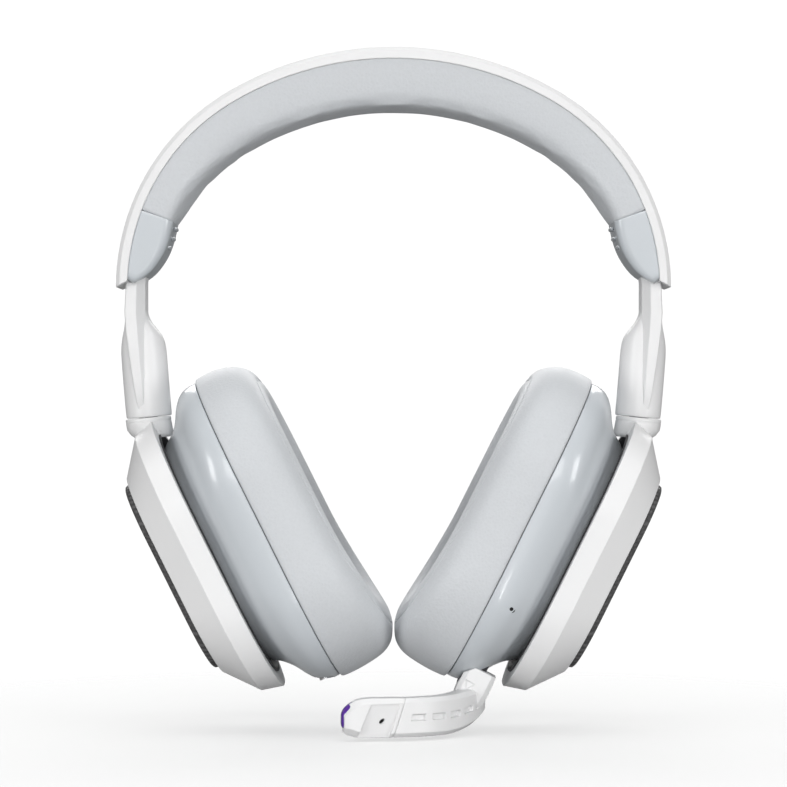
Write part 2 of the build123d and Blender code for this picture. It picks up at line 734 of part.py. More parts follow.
def make_housing(side, hand):
    """A cup's outer casing, with the holes for what is in that cup."""
    reach = rim_width / 2
    baffle_back = cup_mouth - baffle_thickness
    with BuildPart() as housing:
        stack(side, HOUSING)
        stack(side, HOUSING, inset=cup_wall, v_shift=cup_wall, mode=Mode.SUBTRACT)
        with BuildSketch(cup_plane(side, cup_mouth)):
            RectangleRounded(rim_width - 2 * cup_wall, rim_height - 2 * cup_wall, rim_radius - cup_wall)
        extrude(amount=baffle_thickness, mode=Mode.SUBTRACT)
        with BuildSketch(cup_plane(side, baffle_back)):
            boss_sketch(cup_boss_radius)
        extrude(amount=cup_boss_length)
        with BuildSketch(cup_plane(side, baffle_back)):
            boss_sketch(screw_radius)
        extrude(amount=cup_screw_length, mode=Mode.SUBTRACT)
        boss_plane = Plane(origin=cup_plane(side, tilt_pivot).origin, x_dir=(1, 0, 0), z_dir=(0, 1, 0))
        waist = outline_at(HOUSING, tilt_pivot)[2] / 2
        for end in (1, -1):
            foot = boss_plane.origin + Vector(0, end * (waist - 2 * cup_wall - 2), 0)
            with BuildSketch(Plane(origin=foot, x_dir=(end, 0, 0), z_dir=(0, end, 0))):
                Circle(tilt_boss_radius)
            extrude(amount=2 * cup_wall)
        with BuildSketch(boss_plane):
            Circle(tilt_pin_radius + running_clearance)
        extrude(amount=tilt_pin_outer, both=True, mode=Mode.SUBTRACT)
        if side > 0:
            cut_bottom_hole(side, -mic_y, socket_radius)
            cut_bottom_hole(side, jack_y, socket_radius)
            with BuildSketch(control_plane(side, mute_u, control_v, reach - cup_wall - 1)):
                SlotOverall(mute_length + mute_travel + 1.2, mute_height + 2 * slide_clearance, rotation=90)
            extrude(amount=cup_wall + 3, mode=Mode.SUBTRACT)
            front = Plane(origin=control_plane(side, inner_mic_u, inner_mic_v, -reach).origin,
                          x_dir=(1, 0, 0), z_dir=(0, 1, 0))
            with BuildSketch(front):
                Circle(inner_mic_hole)
            extrude(amount=4 * cup_wall, mode=Mode.SUBTRACT)
            with BuildSketch(front.offset(inner_mic_reach)):
                Circle(inner_mic_radius + skin_gap)
            extrude(amount=3 * capsule_depth, mode=Mode.SUBTRACT)
        else:
            with BuildSketch(socket_plane(side, lower_edge(HOUSING, port_v, 0) - cup_wall, port_v, -port_y)):
                port_sketch(0)
            extrude(amount=-port_depth - 2 * cup_wall, mode=Mode.SUBTRACT)
            with BuildSketch(socket_plane(side, lower_edge(HOUSING, port_v, 0) + port_bezel, port_v, -port_y)):
                port_sketch(port_bezel)
            extrude(amount=4 * cup_wall, mode=Mode.SUBTRACT)
            for u, radius in ((power_u, button_radius), (pairing_u, button_radius), (light_u, light_radius)):
                gap = slide_clearance if radius == button_radius else 0
                with BuildSketch(control_plane(side, u, control_v, reach - button_length - 1)):
                    Circle(radius + gap)
                extrude(amount=button_length + 2, mode=Mode.SUBTRACT)
            roller_foot = reach + roller_proud - 2 * roller_radius - 1
            with BuildSketch(control_plane(side, 0, roller_v, roller_foot)):
                Rectangle(roller_thickness + 2 * roller_slot_gap, 2 * roller_radius + 1)
            extrude(amount=2 * roller_radius, mode=Mode.SUBTRACT)
            with BuildSketch(control_plane(side, 0, roller_v, roller_foot)):
                Rectangle(axle_length + 2 * sliver_gap, 4 * axle_radius)
            extrude(amount=roller_radius + 1 + 2 * axle_radius, mode=Mode.SUBTRACT)
    finish(housing, f"{hand}_cup_housing")


def make_driver(side, hand):
    """The baffle, the driver's frame, magnet and diaphragm, and the screws."""
    baffle_back = cup_mouth - baffle_thickness
    with BuildPart() as baffle:
        with BuildSketch(cup_plane(side, cup_mouth)):
            inset = cup_wall + fit_gap
            RectangleRounded(rim_width - 2 * inset, rim_height - 2 * inset, rim_radius - inset)
            Circle(driver_opening + 0.4, mode=Mode.SUBTRACT)
            boss_sketch(screw_radius)
        extrude(amount=baffle_thickness)
        with BuildSketch(cup_plane(side, cup_mouth)):
            boss_sketch(screw_radius)
        extrude(amount=baffle_thickness, mode=Mode.SUBTRACT)
        with BuildSketch(cup_plane(side, cup_mouth)):
            boss_sketch(screw_head_radius)
        extrude(amount=screw_head_height, mode=Mode.SUBTRACT)
    finish(baffle, f"{hand}_baffle")

    with BuildPart() as screws:
        with BuildSketch(cup_plane(side, cup_mouth)):
            boss_sketch(screw_head_radius)
        extrude(amount=screw_head_height)
        with BuildSketch(cup_plane(side, cup_mouth)):
            boss_sketch(screw_radius)
        extrude(amount=baffle_thickness + cup_screw_length - 1)
    finish(screws, f"{hand}_cup_screws")

    with BuildPart() as frame:
        with BuildSketch(cup_plane(side, baffle_back)):
            Circle(driver_radius)
        extrude(amount=driver_flange)
        with BuildSketch(cup_plane(side, baffle_back - driver_flange)):
            Circle(driver_opening + driver_wall)
        with BuildSketch(cup_plane(side, baffle_back - driver_depth)):
            Circle(basket_radius)
        loft()
        with BuildSketch(cup_plane(side, baffle_back)):
            Circle(driver_opening)
        extrude(amount=driver_flange, mode=Mode.SUBTRACT)
        with BuildSketch(cup_plane(side, baffle_back - driver_flange)):
            Circle(driver_opening)
        with BuildSketch(cup_plane(side, baffle_back - driver_depth + driver_wall)):
            Circle(basket_radius - driver_wall)
        loft(mode=Mode.SUBTRACT)
    finish(frame, f"{hand}_driver_frame")

    with BuildPart() as magnet:
        with BuildSketch(cup_plane(side, baffle_back - driver_depth)):
            Circle(magnet_disc_radius)
        extrude(amount=magnet_disc_depth)
    finish(magnet, f"{hand}_driver_magnet")

    with BuildPart() as diaphragm:
        with BuildSketch(cup_plane(side, baffle_back - diaphragm_thickness)):
            Circle(driver_opening)
        extrude(amount=diaphragm_thickness)
    finish(diaphragm, f"{hand}_driver_diaphragm")


def make_ear_cushion(side, hand):
    """The soft oval ring and the cloth that covers the driver inside it."""
    inwards = Axis((0, 0, 0), (-side * cos(lean), 0, sin(lean)))
    tilt = radians(cup_lean + pad_face_slope)
    face = cup_plane(side, pad_face).origin
    with BuildPart() as cushion:
        with BuildSketch(cup_plane(side, cup_mouth)):
            RectangleRounded(pad_width, pad_height, pad_radius)
            RectangleRounded(pad_hole_width, pad_hole_height, pad_hole_radius, mode=Mode.SUBTRACT)
        extrude(amount=-1.3 * (pad_face - cup_mouth))
        split(bisect_by=Plane(origin=face, x_dir=(0, side, 0), z_dir=(side * cos(tilt), 0, -sin(tilt))))
        contact = cushion.faces().sort_by(inwards)[-1]
        rings = contact.wires().sort_by(SortBy.LENGTH)
        fillet(rings[-1].edges(), pad_edge)
        contact = cushion.faces().filter_by(GeomType.PLANE).sort_by(inwards)[-1]
        fillet(contact.wires().sort_by(SortBy.LENGTH)[0].edges(), pad_inner_edge)
        back = cushion.faces().filter_by(GeomType.PLANE).sort_by(inwards)[0]
        fillet(back.wires().sort_by(SortBy.LENGTH)[-1].edges(), pad_back_edge)
    finish(cushion, f"{hand}_ear_cushion")

    with BuildPart() as scrim:
        with BuildSketch(cup_plane(side, cup_mouth)):
            margin = 2 * fit_gap
            RectangleRounded(pad_hole_width - margin, pad_hole_height - margin, pad_hole_radius - fit_gap)
        extrude(amount=-scrim_thickness)
    finish(scrim, f"{hand}_cushion_scrim")


def make_right_controls():
    """The battery, the charging port, the volume roller, the buttons and the light."""
    side = -1
    reach = rim_width / 2
    floor = waist_back[0] + cup_wall
    width, height, depth = battery_size
    with BuildPart() as battery:
        with BuildSketch(cup_plane(side, floor + skin_gap)):
            RectangleRounded(width, height, 2)
        extrude(amount=-depth)
    finish(battery, "battery")

    mouth = lower_edge(HOUSING, port_v, 0) + port_bezel
    with BuildPart() as port:
        with BuildSketch(socket_plane(side, mouth, port_v, -port_y)):
            port_sketch(-skin_gap)
        extrude(amount=-port_depth)
        with BuildSketch(socket_plane(side, mouth, port_v, -port_y)):
            port_sketch(-skin_gap - port_wall)
        extrude(amount=-port_depth + port_wall, mode=Mode.SUBTRACT)
        with BuildSketch(socket_plane(side, mouth + port_depth - port_wall, port_v, -port_y)):
            Rectangle(port_wall * 2, port_width / 2 + port_wall)
        extrude(amount=port_depth * 0.7)
    finish(port, "charge_port")

    for label, u in (("power_button", power_u), ("pairing_button", pairing_u)):
        with BuildPart() as button:
            with BuildSketch(control_plane(side, u, control_v, reach + button_proud - button_length)):
                Circle(button_radius)
            extrude(amount=button_length)
            fillet(button.edges().sort_by(Axis.Y)[-1:], button_radius / 3)
        finish(button, label)

    with BuildPart() as light:
        with BuildSketch(control_plane(side, light_u, control_v, reach - cup_wall)):
            Circle(light_radius)
        extrude(amount=cup_wall + 0.1)
    finish(light, "status_light")

    centre = control_plane(side, 0, roller_v, reach + roller_proud - roller_radius)
    roller_plane = Plane(origin=centre.origin, x_dir=(0, 1, 0), z_dir=centre.x_dir)
    with BuildPart() as roller:
        with BuildSketch(roller_plane):
            Circle(roller_radius)
            Circle(axle_radius + running_clearance, mode=Mode.SUBTRACT)
            with PolarLocations(roller_radius, 24):
                Circle(0.35, mode=Mode.SUBTRACT)
        extrude(amount=roller_thickness / 2, both=True)
    finish(roller, "volume_roller")

    with BuildPart() as axle:
        with BuildSketch(roller_plane):
            Circle(axle_radius)
        extrude(amount=axle_length / 2, both=True)
    finish(axle, "roller_axle")


def make_left_electronics():
    """The main board, the two sockets, the mute switch and the built-in microphone."""
    side = 1
    reach = rim_width / 2
    floor = waist_back[0] + cup_wall
    height, width, depth = board_size
    with BuildPart() as board:
        with BuildSketch(cup_plane(side, floor + skin_gap)):
            RectangleRounded(width, height, 2)
        extrude(amount=-depth)
        with BuildSketch(cup_plane(side, floor + skin_gap + depth)):
            with GridLocations(1.4 * chip_size[0], 1.5 * chip_size[1], 2, 2):
                Rectangle(chip_size[0], chip_size[1])
        extrude(amount=-chip_size[2])
    finish(board, "main_board")

    for label, y in (("mic_socket", -mic_y), ("audio_jack", jack_y)):
        mouth = lower_edge(HOUSING, socket_v, y) + socket_recess
        with BuildPart() as socket:
            with BuildSketch(socket_plane(side, mouth, socket_v, y)):
                Circle(socket_radius - skin_gap)
            extrude(amount=-jack_depth - 1.5)
            with BuildSketch(socket_plane(side, mouth, socket_v, y)):
                Circle(jack_bore_radius)
            extrude(amount=-jack_depth, mode=Mode.SUBTRACT)
        finish(socket, label)

    with BuildPart() as switch:
        with BuildSketch(control_plane(side, mute_u - mute_travel / 2, control_v, reach - cup_wall)):
            SlotOverall(mute_length, mute_height, rotation=90)
        extrude(amount=cup_wall + mute_proud)
    finish(switch, "mute_switch")

    inner = Plane(origin=control_plane(side, inner_mic_u, inner_mic_v, -reach + inner_mic_reach).origin,
                  x_dir=(1, 0, 0), z_dir=(0, 1, 0))
    with BuildPart() as capsule:
        with BuildSketch(inner):
            Circle(inner_mic_radius)
        extrude(amount=capsule_depth)
    finish(capsule, "built_in_mic")


def root_outline(u_top, inset):
    """The root block's outline seen from the front: down along the cup, then to the arm."""
    def at(u, v):
        x = cup_point[0] + u * sin(lean) - v * cos(lean)
        return x, cup_point[1] + u * cos(lean) + v * sin(lean)
    low = boom_z - boom_height / 2
    drop = (cup_point[1] - low + root_v_out * sin(lean)) / cos(lean)
    outer_foot = at(-drop + boom_height / 2, root_v_out + inset)
    points = [
        at(u_top, root_v_in - inset),
        at(u_top, root_v_out + inset),
        outer_foot,
        (boom_start_x + boom_thickness / 2, low + boom_edge),
        (boom_start_x + boom_thickness / 2 - boom_edge, low),
        (boom_start_x - boom_thickness / 2, low),
        at(-drop + boom_height, root_v_in - inset),
    ]
    with BuildLine() as edge:
        Polyline(*points, close=True)
    make_face(edge.edges())


def make_mic():
    """The plug-in boom: plug, gasket, root block and arm, then the head that the arm aims."""
    side = 1
    mouth = lower_edge(HOUSING, socket_v, -mic_y) + socket_recess
    block_top = Plane.XZ.offset(-root_front_y - root_depth_y)
    clear = tuple((v, h + 2 * root_gap, w + 2 * root_gap, r + root_gap) for v, h, w, r in HOUSING)
    snug = tuple((v, h + 2 * (root_gap + gasket_thickness), w + 2 * (root_gap + gasket_thickness),
                  r + root_gap + gasket_thickness) for v, h, w, r in HOUSING)
    reach_v = (HOUSING[-1][0] + 4,) + HOUSING[-1][1:]
    with BuildPart() as root:
        with BuildSketch(block_top):
            root_outline(root_top_u, 0)
        extrude(amount=root_depth_y)
        stack(side, snug + ((reach_v[0],) + snug[-1][1:],), mode=Mode.SUBTRACT)
        with BuildSketch(socket_plane(side, mouth - plug_foot - plug_foot_gap, socket_v, -mic_y)):
            Circle(plug_radius)
        extrude(amount=-plug_foot - plug_length, mode=Mode.SUBTRACT)
        front = Plane.XZ.offset(-root_front_y)
        mark_x = cup_point[0] + (root_top_u - mark_drop) * sin(lean) - root_centre_v * cos(lean)
        mark_z = cup_point[1] + (root_top_u - mark_drop) * cos(lean) + root_centre_v * sin(lean)
        with BuildSketch(front):
            with Locations((mark_x, mark_z)):
                Triangle(c=mark_width, b=mark_width, a=mark_height, rotation=-cup_lean + 180)
        extrude(amount=-mark_depth, mode=Mode.SUBTRACT)
    finish(root, "mic_root_block")

    with BuildPart() as gasket:
        with BuildSketch(block_top.offset(gasket_inset)):
            root_outline(root_top_u, gasket_inset)
        extrude(amount=root_depth_y - 2 * gasket_inset)
        stack(side, clear + ((reach_v[0],) + clear[-1][1:],), mode=Mode.SUBTRACT)
        stack(side, snug + ((reach_v[0],) + snug[-1][1:],), mode=Mode.INTERSECT)
        with BuildSketch(socket_plane(side, mouth - plug_foot - plug_foot_gap, socket_v, -mic_y)):
            Circle(plug_radius)
        extrude(amount=-plug_foot - plug_length, mode=Mode.SUBTRACT)
    finish(gasket, "mic_gasket")

    with BuildPart() as plug:
        with BuildSketch(socket_plane(side, mouth - plug_foot, socket_v, -mic_y)):
            Circle(plug_radius)
        extrude(amount=-plug_foot - plug_length)
        fillet(plug.edges().sort_by(Axis.Z)[-1:], plug_radius / 2)
    finish(plug, "mic_plug")

    pivot = mic_plan(boom_flex_angle)
    with BuildPart() as arm:
        with BuildSketch(Plane.XY.offset(boom_z)):
            boom_sketch(0, boom_flex_angle, boom_thickness)
            with Locations((boom_start_x, root_front_y + boom_radius / 2)):
                Rectangle(4 * boom_thickness, boom_radius, mode=Mode.SUBTRACT)
            with Locations(pivot):
                Circle(boom_thickness / 2)
        extrude(amount=boom_height / 2, both=True)
        chamfer(arm.faces().sort_by(Axis.Z)[-1].edges(), boom_edge / 2)
        chamfer(arm.faces().sort_by(Axis.Z)[0].edges(), boom_edge / 2)
        pitch = (boom_end_angle - boom_root_angle) / slot_count
        boom_slots([boom_root_angle + pitch * (i + 0.5) for i in range(slot_count) if i < slot_count / 2 - 1])
    finish(arm, "mic_boom_arm")

    trim = degrees(knuckle_trim / boom_radius)
    half = head_thickness / 2
    slope = radians(boom_end_angle)
    along = (-sin(slope), -cos(slope))
    across = (cos(slope), -sin(slope))
    start = mic_plan(boom_end_angle)

    def head_point(run, offset):
        """A point of the head seen from above."""
        return (start[0] + run * along[0] + offset * across[0], start[1] + run * along[1] + offset * across[1])

    with BuildPart() as head:
        with BuildSketch(Plane.XY.offset(boom_z)):
            boom_sketch(boom_flex_angle + trim, boom_end_angle, boom_thickness)
            with BuildLine():
                Polyline(head_point(0, -boom_thickness / 2), head_point(head_swell, -half),
                         head_point(head_length - head_taper, -half), head_point(head_length, -half / 3),
                         head_point(head_length, half / 3), head_point(head_length - head_taper, half),
                         head_point(head_swell, half), head_point(0, boom_thickness / 2), close=True)
            make_face()
            with Locations(pivot):
                Circle(boom_thickness / 2 + knuckle_gap, mode=Mode.SUBTRACT)
        extrude(amount=boom_height / 2, both=True)
        tip_plane = Plane(origin=(*head_point(head_length, 0), boom_z), x_dir=(*across, 0), z_dir=(*along, 0))
        with BuildSketch(tip_plane):
            SlotOverall(tip_ring_height, half, rotation=90)
        extrude(amount=-tip_ring_depth, mode=Mode.SUBTRACT)
        spot = head_point(head_length * 0.55, half)
        face = Plane(origin=(*spot, boom_z), x_dir=(*along, 0), z_dir=(*across, 0))
        with BuildSketch(face.offset(-cup_wall)):
            Circle(capsule_radius + skin_gap)
        extrude(amount=-capsule_depth, mode=Mode.SUBTRACT)
        with BuildSketch(face):
            SlotOverall(2.4 * capsule_hole, capsule_hole, rotation=mic_slot_slant)
        extrude(amount=-cup_wall, mode=Mode.SUBTRACT)
        boom_slots([boom_root_angle + pitch * (i + 0.5) for i in range(slot_count) if i > slot_count / 2])
    finish(head, "mic_head_shell")

    with BuildPart() as capsule:
        with BuildSketch(face.offset(-cup_wall)):
            Circle(capsule_radius)
        extrude(amount=-capsule_depth)
    finish(capsule, "mic_capsule")

    with BuildPart() as tip:
        with BuildSketch(tip_plane):
            SlotOverall(tip_ring_height, half, rotation=90)
        extrude(amount=-tip_ring_depth)
    finish(tip, "mic_tip_ring")


os.makedirs("parts", exist_ok=True)
make_headband()
for hand_side, hand_name in SIDES:
    make_end_cap(hand_side, hand_name)
    make_arm(hand_side, hand_name)
    make_yoke(hand_side, hand_name)
    make_housing(hand_side, hand_name)
    make_driver(hand_side, hand_name)
    make_ear_cushion(hand_side, hand_name)
make_right_controls()
make_left_electronics()
make_mic()
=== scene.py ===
import json
from math import atan2, cos, degrees, pi, radians, sin, tau

import bmesh
import bpy
from mathutils import Matrix, Vector


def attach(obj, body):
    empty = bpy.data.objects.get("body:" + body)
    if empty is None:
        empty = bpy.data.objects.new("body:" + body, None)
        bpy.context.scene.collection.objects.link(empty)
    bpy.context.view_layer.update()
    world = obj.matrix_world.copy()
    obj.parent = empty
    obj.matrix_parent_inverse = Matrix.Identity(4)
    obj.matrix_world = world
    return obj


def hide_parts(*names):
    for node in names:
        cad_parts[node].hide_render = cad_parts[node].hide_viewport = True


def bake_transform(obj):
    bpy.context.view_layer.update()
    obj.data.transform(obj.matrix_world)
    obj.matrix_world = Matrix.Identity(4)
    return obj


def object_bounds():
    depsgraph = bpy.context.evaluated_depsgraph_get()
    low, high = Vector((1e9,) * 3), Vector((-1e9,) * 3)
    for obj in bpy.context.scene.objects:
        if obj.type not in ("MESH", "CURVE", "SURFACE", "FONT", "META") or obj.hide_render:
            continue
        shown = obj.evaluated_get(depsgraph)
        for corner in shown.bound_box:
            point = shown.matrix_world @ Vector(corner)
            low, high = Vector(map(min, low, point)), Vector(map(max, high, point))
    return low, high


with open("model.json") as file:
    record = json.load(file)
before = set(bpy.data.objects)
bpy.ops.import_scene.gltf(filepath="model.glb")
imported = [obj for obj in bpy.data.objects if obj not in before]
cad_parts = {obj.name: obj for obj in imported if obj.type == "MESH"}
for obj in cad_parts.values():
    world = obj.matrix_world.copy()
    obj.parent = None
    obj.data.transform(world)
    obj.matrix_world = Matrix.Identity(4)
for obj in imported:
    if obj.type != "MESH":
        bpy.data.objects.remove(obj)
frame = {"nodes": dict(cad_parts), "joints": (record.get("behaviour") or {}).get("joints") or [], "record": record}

MM = 0.001
cad_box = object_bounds()
JOINTS = {joint["name"]: joint for joint in frame["joints"]}
HANDS = ("left", "right")


# ---------------------------------------------------------------- finishes

class Wire:
    """A shader socket that takes part in plain arithmetic."""

    def __init__(self, finish, socket):
        self.finish, self.socket = finish, socket

    def maths(self, operation, *values):
        return self.finish.node("Math", {"operation": operation}, values)

    def __add__(self, other): return self.maths("ADD", self, other)
    def __radd__(self, other): return self.maths("ADD", other, self)
    def __sub__(self, other): return self.maths("SUBTRACT", self, other)
    def __rsub__(self, other): return self.maths("SUBTRACT", other, self)
    def __mul__(self, other): return self.maths("MULTIPLY", self, other)
    def __rmul__(self, other): return self.maths("MULTIPLY", other, self)


class Finish:
    """One finish: a Principled surface and the nodes that vary it."""

    def __init__(self, name, colour, roughness, **constants):
        self.material = bpy.data.materials.new(name)
        self.material.use_nodes = True
        self.tree = self.material.node_tree
        self.surface = self.tree.nodes["Principled BSDF"]
        self.colour = (*colour, 1.0)
        self.roughness = roughness
        self.surface.inputs["Base Color"].default_value = self.colour
        self.surface.inputs["Roughness"].default_value = roughness
        for socket, value in constants.items():
            self.surface.inputs[socket.replace("_", " ")].default_value = value
        self.place = self.node("TexCoord", {}, {}, "Object")

    def node(self, kind, settings, values, output=0):
        made = self.tree.nodes.new("ShaderNode" + kind)
        for key, value in settings.items():
            setattr(made, key, value)
        pairs = values.items() if isinstance(values, dict) else enumerate(values)
        for key, value in pairs:
            if isinstance(value, Wire):
                self.tree.links.new(value.socket, made.inputs[key])
            else:
                made.inputs[key].default_value = value
        return Wire(self, made.outputs[output])

    def noise(self, size, detail=2.0, place=None):
        """Soft random variation from 0 to 1, whose blotches are about size metres across."""
        return self.node("TexNoise", {}, {"Vector": place or self.place, "Scale": 1 / size, "Detail": detail})

    def cells(self, size, feature="F1", output="Distance", place=None):
        """Distances within cells about size metres across."""
        return self.node("TexVoronoi", {"feature": feature},
                         {"Vector": place or self.place, "Scale": 1 / size}, output)

    def turned(self, angles, scale=(1, 1, 1)):
        """The object's own coordinates, turned and stretched."""
        return self.node("Mapping", {}, {"Vector": self.place, "Rotation": angles, "Scale": scale})

    def axis(self, name, place=None):
        """One coordinate, by its letter."""
        return self.node("SeparateXYZ", {}, [place or self.place], "XYZ".index(name))

    def waves(self, along, pitch):
        """A smooth ripple from 0 to 1 along a coordinate."""
        return self.node("Math", {"operation": "SINE"}, [along * (tau / pitch)]) * 0.5 + 0.5

    def tint(self, amount, darker, lighter):
        """Vary the colour between two multiples of itself."""
        low = tuple(c * darker for c in self.colour[:3]) + (1.0,)
        high = tuple(c * lighter for c in self.colour[:3]) + (1.0,)
        mixed = self.node("Mix", {"data_type": "RGBA"}, {0: amount, 6: low, 7: high}, 2)
        self.tree.links.new(mixed.socket, self.surface.inputs["Base Color"])
        return self

    def gloss(self, amount, spread):
        """Vary the roughness by a spread either side of its middle."""
        rough = amount * (2 * spread) + (self.roughness - spread)
        self.tree.links.new(rough.socket, self.surface.inputs["Roughness"])
        return self

    def relief(self, height, depth, softened=0.0):
        """Raise the surface by depth metres where height is 1, over edges softened by a radius."""
        inputs = {"Height": height, "Distance": depth, "Strength": 1.0}
        if softened:
            inputs["Normal"] = self.node("Bevel", {"samples": 6}, {"Radius": softened})
        bumped = self.node("Bump", {}, inputs)
        self.tree.links.new(bumped.socket, self.surface.inputs["Normal"])
        return self


def moulded(name, colour, roughness, softened=0.0005, **constants):
    """Moulded plastic with a fine spark-eroded skin."""
    made = Finish(name, colour, roughness, **constants)
    skin = made.noise(0.00035, 3)
    made.tint(made.noise(0.018, 3), 0.975, 1.015)
    made.gloss(made.noise(0.006, 4), 0.05)
    made.relief(skin, 0.000012, softened)
    return made


def leatherette(name, colour):
    """Soft coated cloth with a fine pebble grain and a slanting emboss."""
    made = Finish(name, colour, 0.52, Specular_IOR_Level=0.42, Sheen_Weight=0.15, Sheen_Roughness=0.5)
    pebbles = made.cells(0.00085)
    fine = made.noise(0.0005, 3)
    slant = made.waves(made.axis("Y") + made.axis("Z") * 0.6 + made.noise(0.004) * 0.0012, 0.00125)
    grain = pebbles * 0.7 + fine * 0.4 + slant * 0.12
    made.tint(grain, 0.965, 1.02)
    made.gloss(made.noise(0.004, 3), 0.07)
    made.relief(grain, 0.00009)
    return made


def knitted(name, colour):
    """A stretched acoustic knit, open between its stitches."""
    made = Finish(name, colour, 0.9, Sheen_Weight=0.25)
    across = made.waves(made.axis("Y"), 0.0014)
    upward = made.waves(made.axis("Z"), 0.0011)
    stitch = across * upward
    made.tint(stitch, 0.35, 1.4)
    made.relief(stitch, 0.0003)
    return made


def brushed(name, colour, roughness):
    """Drawn or plated metal with fine lines."""
    made = Finish(name, colour, roughness, Metallic=1.0)
    lines = made.noise(0.0012, 3, made.turned((0, 0, 0), (1, 12, 1)))
    made.tint(lines, 0.9, 1.05)
    made.gloss(lines, 0.06)
    made.relief(lines, 0.00001)
    return made


def woven_print(name, colour):
    """Dark plate with a close slanting weave moulded into it."""
    made = Finish(name, colour, 0.6, Specular_IOR_Level=0.35)
    one = made.waves(made.axis("Y") + made.axis("Z"), 0.0026)
    two = made.waves(made.axis("Y") - made.axis("Z"), 0.0026)
    weave = one * two
    made.tint(weave + made.noise(0.0012) * 0.4, 0.6, 1.7)
    made.gloss(made.noise(0.003), 0.08)
    made.relief(weave, 0.0002)
    return made


def board(name, colour):
    """Solder mask over copper tracks."""
    made = Finish(name, colour, 0.35)
    tracks = made.cells(0.003, "DISTANCE_TO_EDGE")
    made.tint(tracks * 3.0, 1.6, 0.9)
    made.relief(tracks, 0.00005)
    return made


WHITE = (0.83, 0.83, 0.832)
FINISHES = {
    "shell_white": moulded("shell white", WHITE, 0.36),
    "casing_grey": moulded("casing grey", (0.585, 0.62, 0.65), 0.33, Coat_Weight=0.5, Coat_Roughness=0.1),
    "cushion_grey": leatherette("cushion grey", (0.61, 0.63, 0.652)),
    "scrim_grey": knitted("scrim grey", (0.16, 0.17, 0.18)),
    "spring_steel": brushed("spring steel", (0.60, 0.61, 0.63), 0.3),
    "dark_plastic": moulded("dark plastic", (0.035, 0.035, 0.038), 0.5),
    "tag_dark": woven_print("tag dark", (0.075, 0.074, 0.075)),
    "board_green": board("board green", (0.03, 0.15, 0.07)),
    "magnet_nickel": brushed("magnet nickel", (0.70, 0.70, 0.71), 0.18),
    "battery_foil": brushed("battery foil", (0.72, 0.73, 0.75), 0.4),
    "diaphragm_film": moulded("diaphragm film", (0.12, 0.12, 0.13), 0.25),
    "gasket_rubber": moulded("gasket rubber", (0.03, 0.03, 0.033), 0.7),
    "socket_metal": brushed("socket metal", (0.66, 0.66, 0.67), 0.22),
    "mic_foam": moulded("mic foam", (0.02, 0.02, 0.02), 0.9),
    "tip_violet": moulded("tip violet", (0.085, 0.012, 0.30), 0.22, Coat_Weight=0.6),
    "light_lens": moulded("light lens", (0.75, 0.78, 0.80), 0.15),
}

SLOT_OF = {part["node"]: part["material_slot"] for part in frame["record"]["subparts"]}


def wear(piece, slot):
    """Give a piece or a CAD node the finish of one of the record's slots."""
    piece.data.materials.clear()
    piece.data.materials.append(FINISHES[slot].material)


for node, piece in frame["nodes"].items():
    wear(piece, SLOT_OF[node])


# ---------------------------------------------------------------- camera, light and floor

camera = bpy.data.objects.new("camera", bpy.data.cameras.new("camera"))
camera.data.lens = 144.7
camera.data.sensor_width = 36
camera.location = (0, -1.0, -0.0912)
camera.rotation_euler = (pi / 2, 0, 0)
bpy.context.collection.objects.link(camera)
bpy.context.scene.camera = camera


def softbox(name, place, target, size, power):
    """A soft rectangular light at a place, turned towards a target."""
    light = bpy.data.lights.new(name, "AREA")
    light.shape, light.size, light.size_y = "RECTANGLE", size[0], size[1]
    light.energy = power
    lamp = bpy.data.objects.new(name, light)
    lamp.location = place
    lamp.rotation_euler = (Vector(target) - Vector(place)).to_track_quat("-Z", "Y").to_euler()
    bpy.context.collection.objects.link(lamp)


middle = (0, 0, -0.09)
softbox("overhead softbox", (0, -0.2, 0.95), middle, (1.0, 0.7), 3.4)
softbox("front softbox", (0, -1.5, 0.25), middle, (0.9, 0.6), 8.4)
softbox("front left softbox", (-0.95, -0.85, -0.02), middle, (0.35, 0.5), 4.6)
softbox("front right softbox", (0.95, -0.85, -0.02), middle, (0.35, 0.5), 4.6)
softbox("rear softbox", (0, 0.95, 0.45), middle, (1.2, 0.5), 7.5)
softbox("rim strip", (0.12, -1.02, -0.36), (-0.045, -0.05, -0.13), (0.06, 0.25), 0.8)

bpy.context.scene.view_settings.view_transform = "Standard"
world = bpy.data.worlds.new("studio")
world.use_nodes = True
sky = world.node_tree
seen = sky.nodes.new("ShaderNodeLightPath")
way = sky.nodes.new("ShaderNodeTexCoord")
split = sky.nodes.new("ShaderNodeSeparateXYZ")
ambient = sky.nodes.new("ShaderNodeMapRange")
ambient.inputs["From Min"].default_value, ambient.inputs["From Max"].default_value = -0.3, 0.6
ambient.inputs["To Min"].default_value, ambient.inputs["To Max"].default_value = 0.06, 0.30
brightness = sky.nodes.new("ShaderNodeMapRange")
brightness.inputs["To Max"].default_value = 1.05
sky.links.new(way.outputs["Generated"], split.inputs[0])
sky.links.new(split.outputs["Z"], ambient.inputs["Value"])
sky.links.new(seen.outputs["Is Camera Ray"], brightness.inputs["Value"])
sky.links.new(ambient.outputs["Result"], brightness.inputs["To Min"])
sky.links.new(brightness.outputs["Result"], sky.nodes["Background"].inputs["Strength"])
sky.nodes["Background"].inputs["Color"].default_value = (1, 1, 1, 1)
bpy.context.scene.world = world

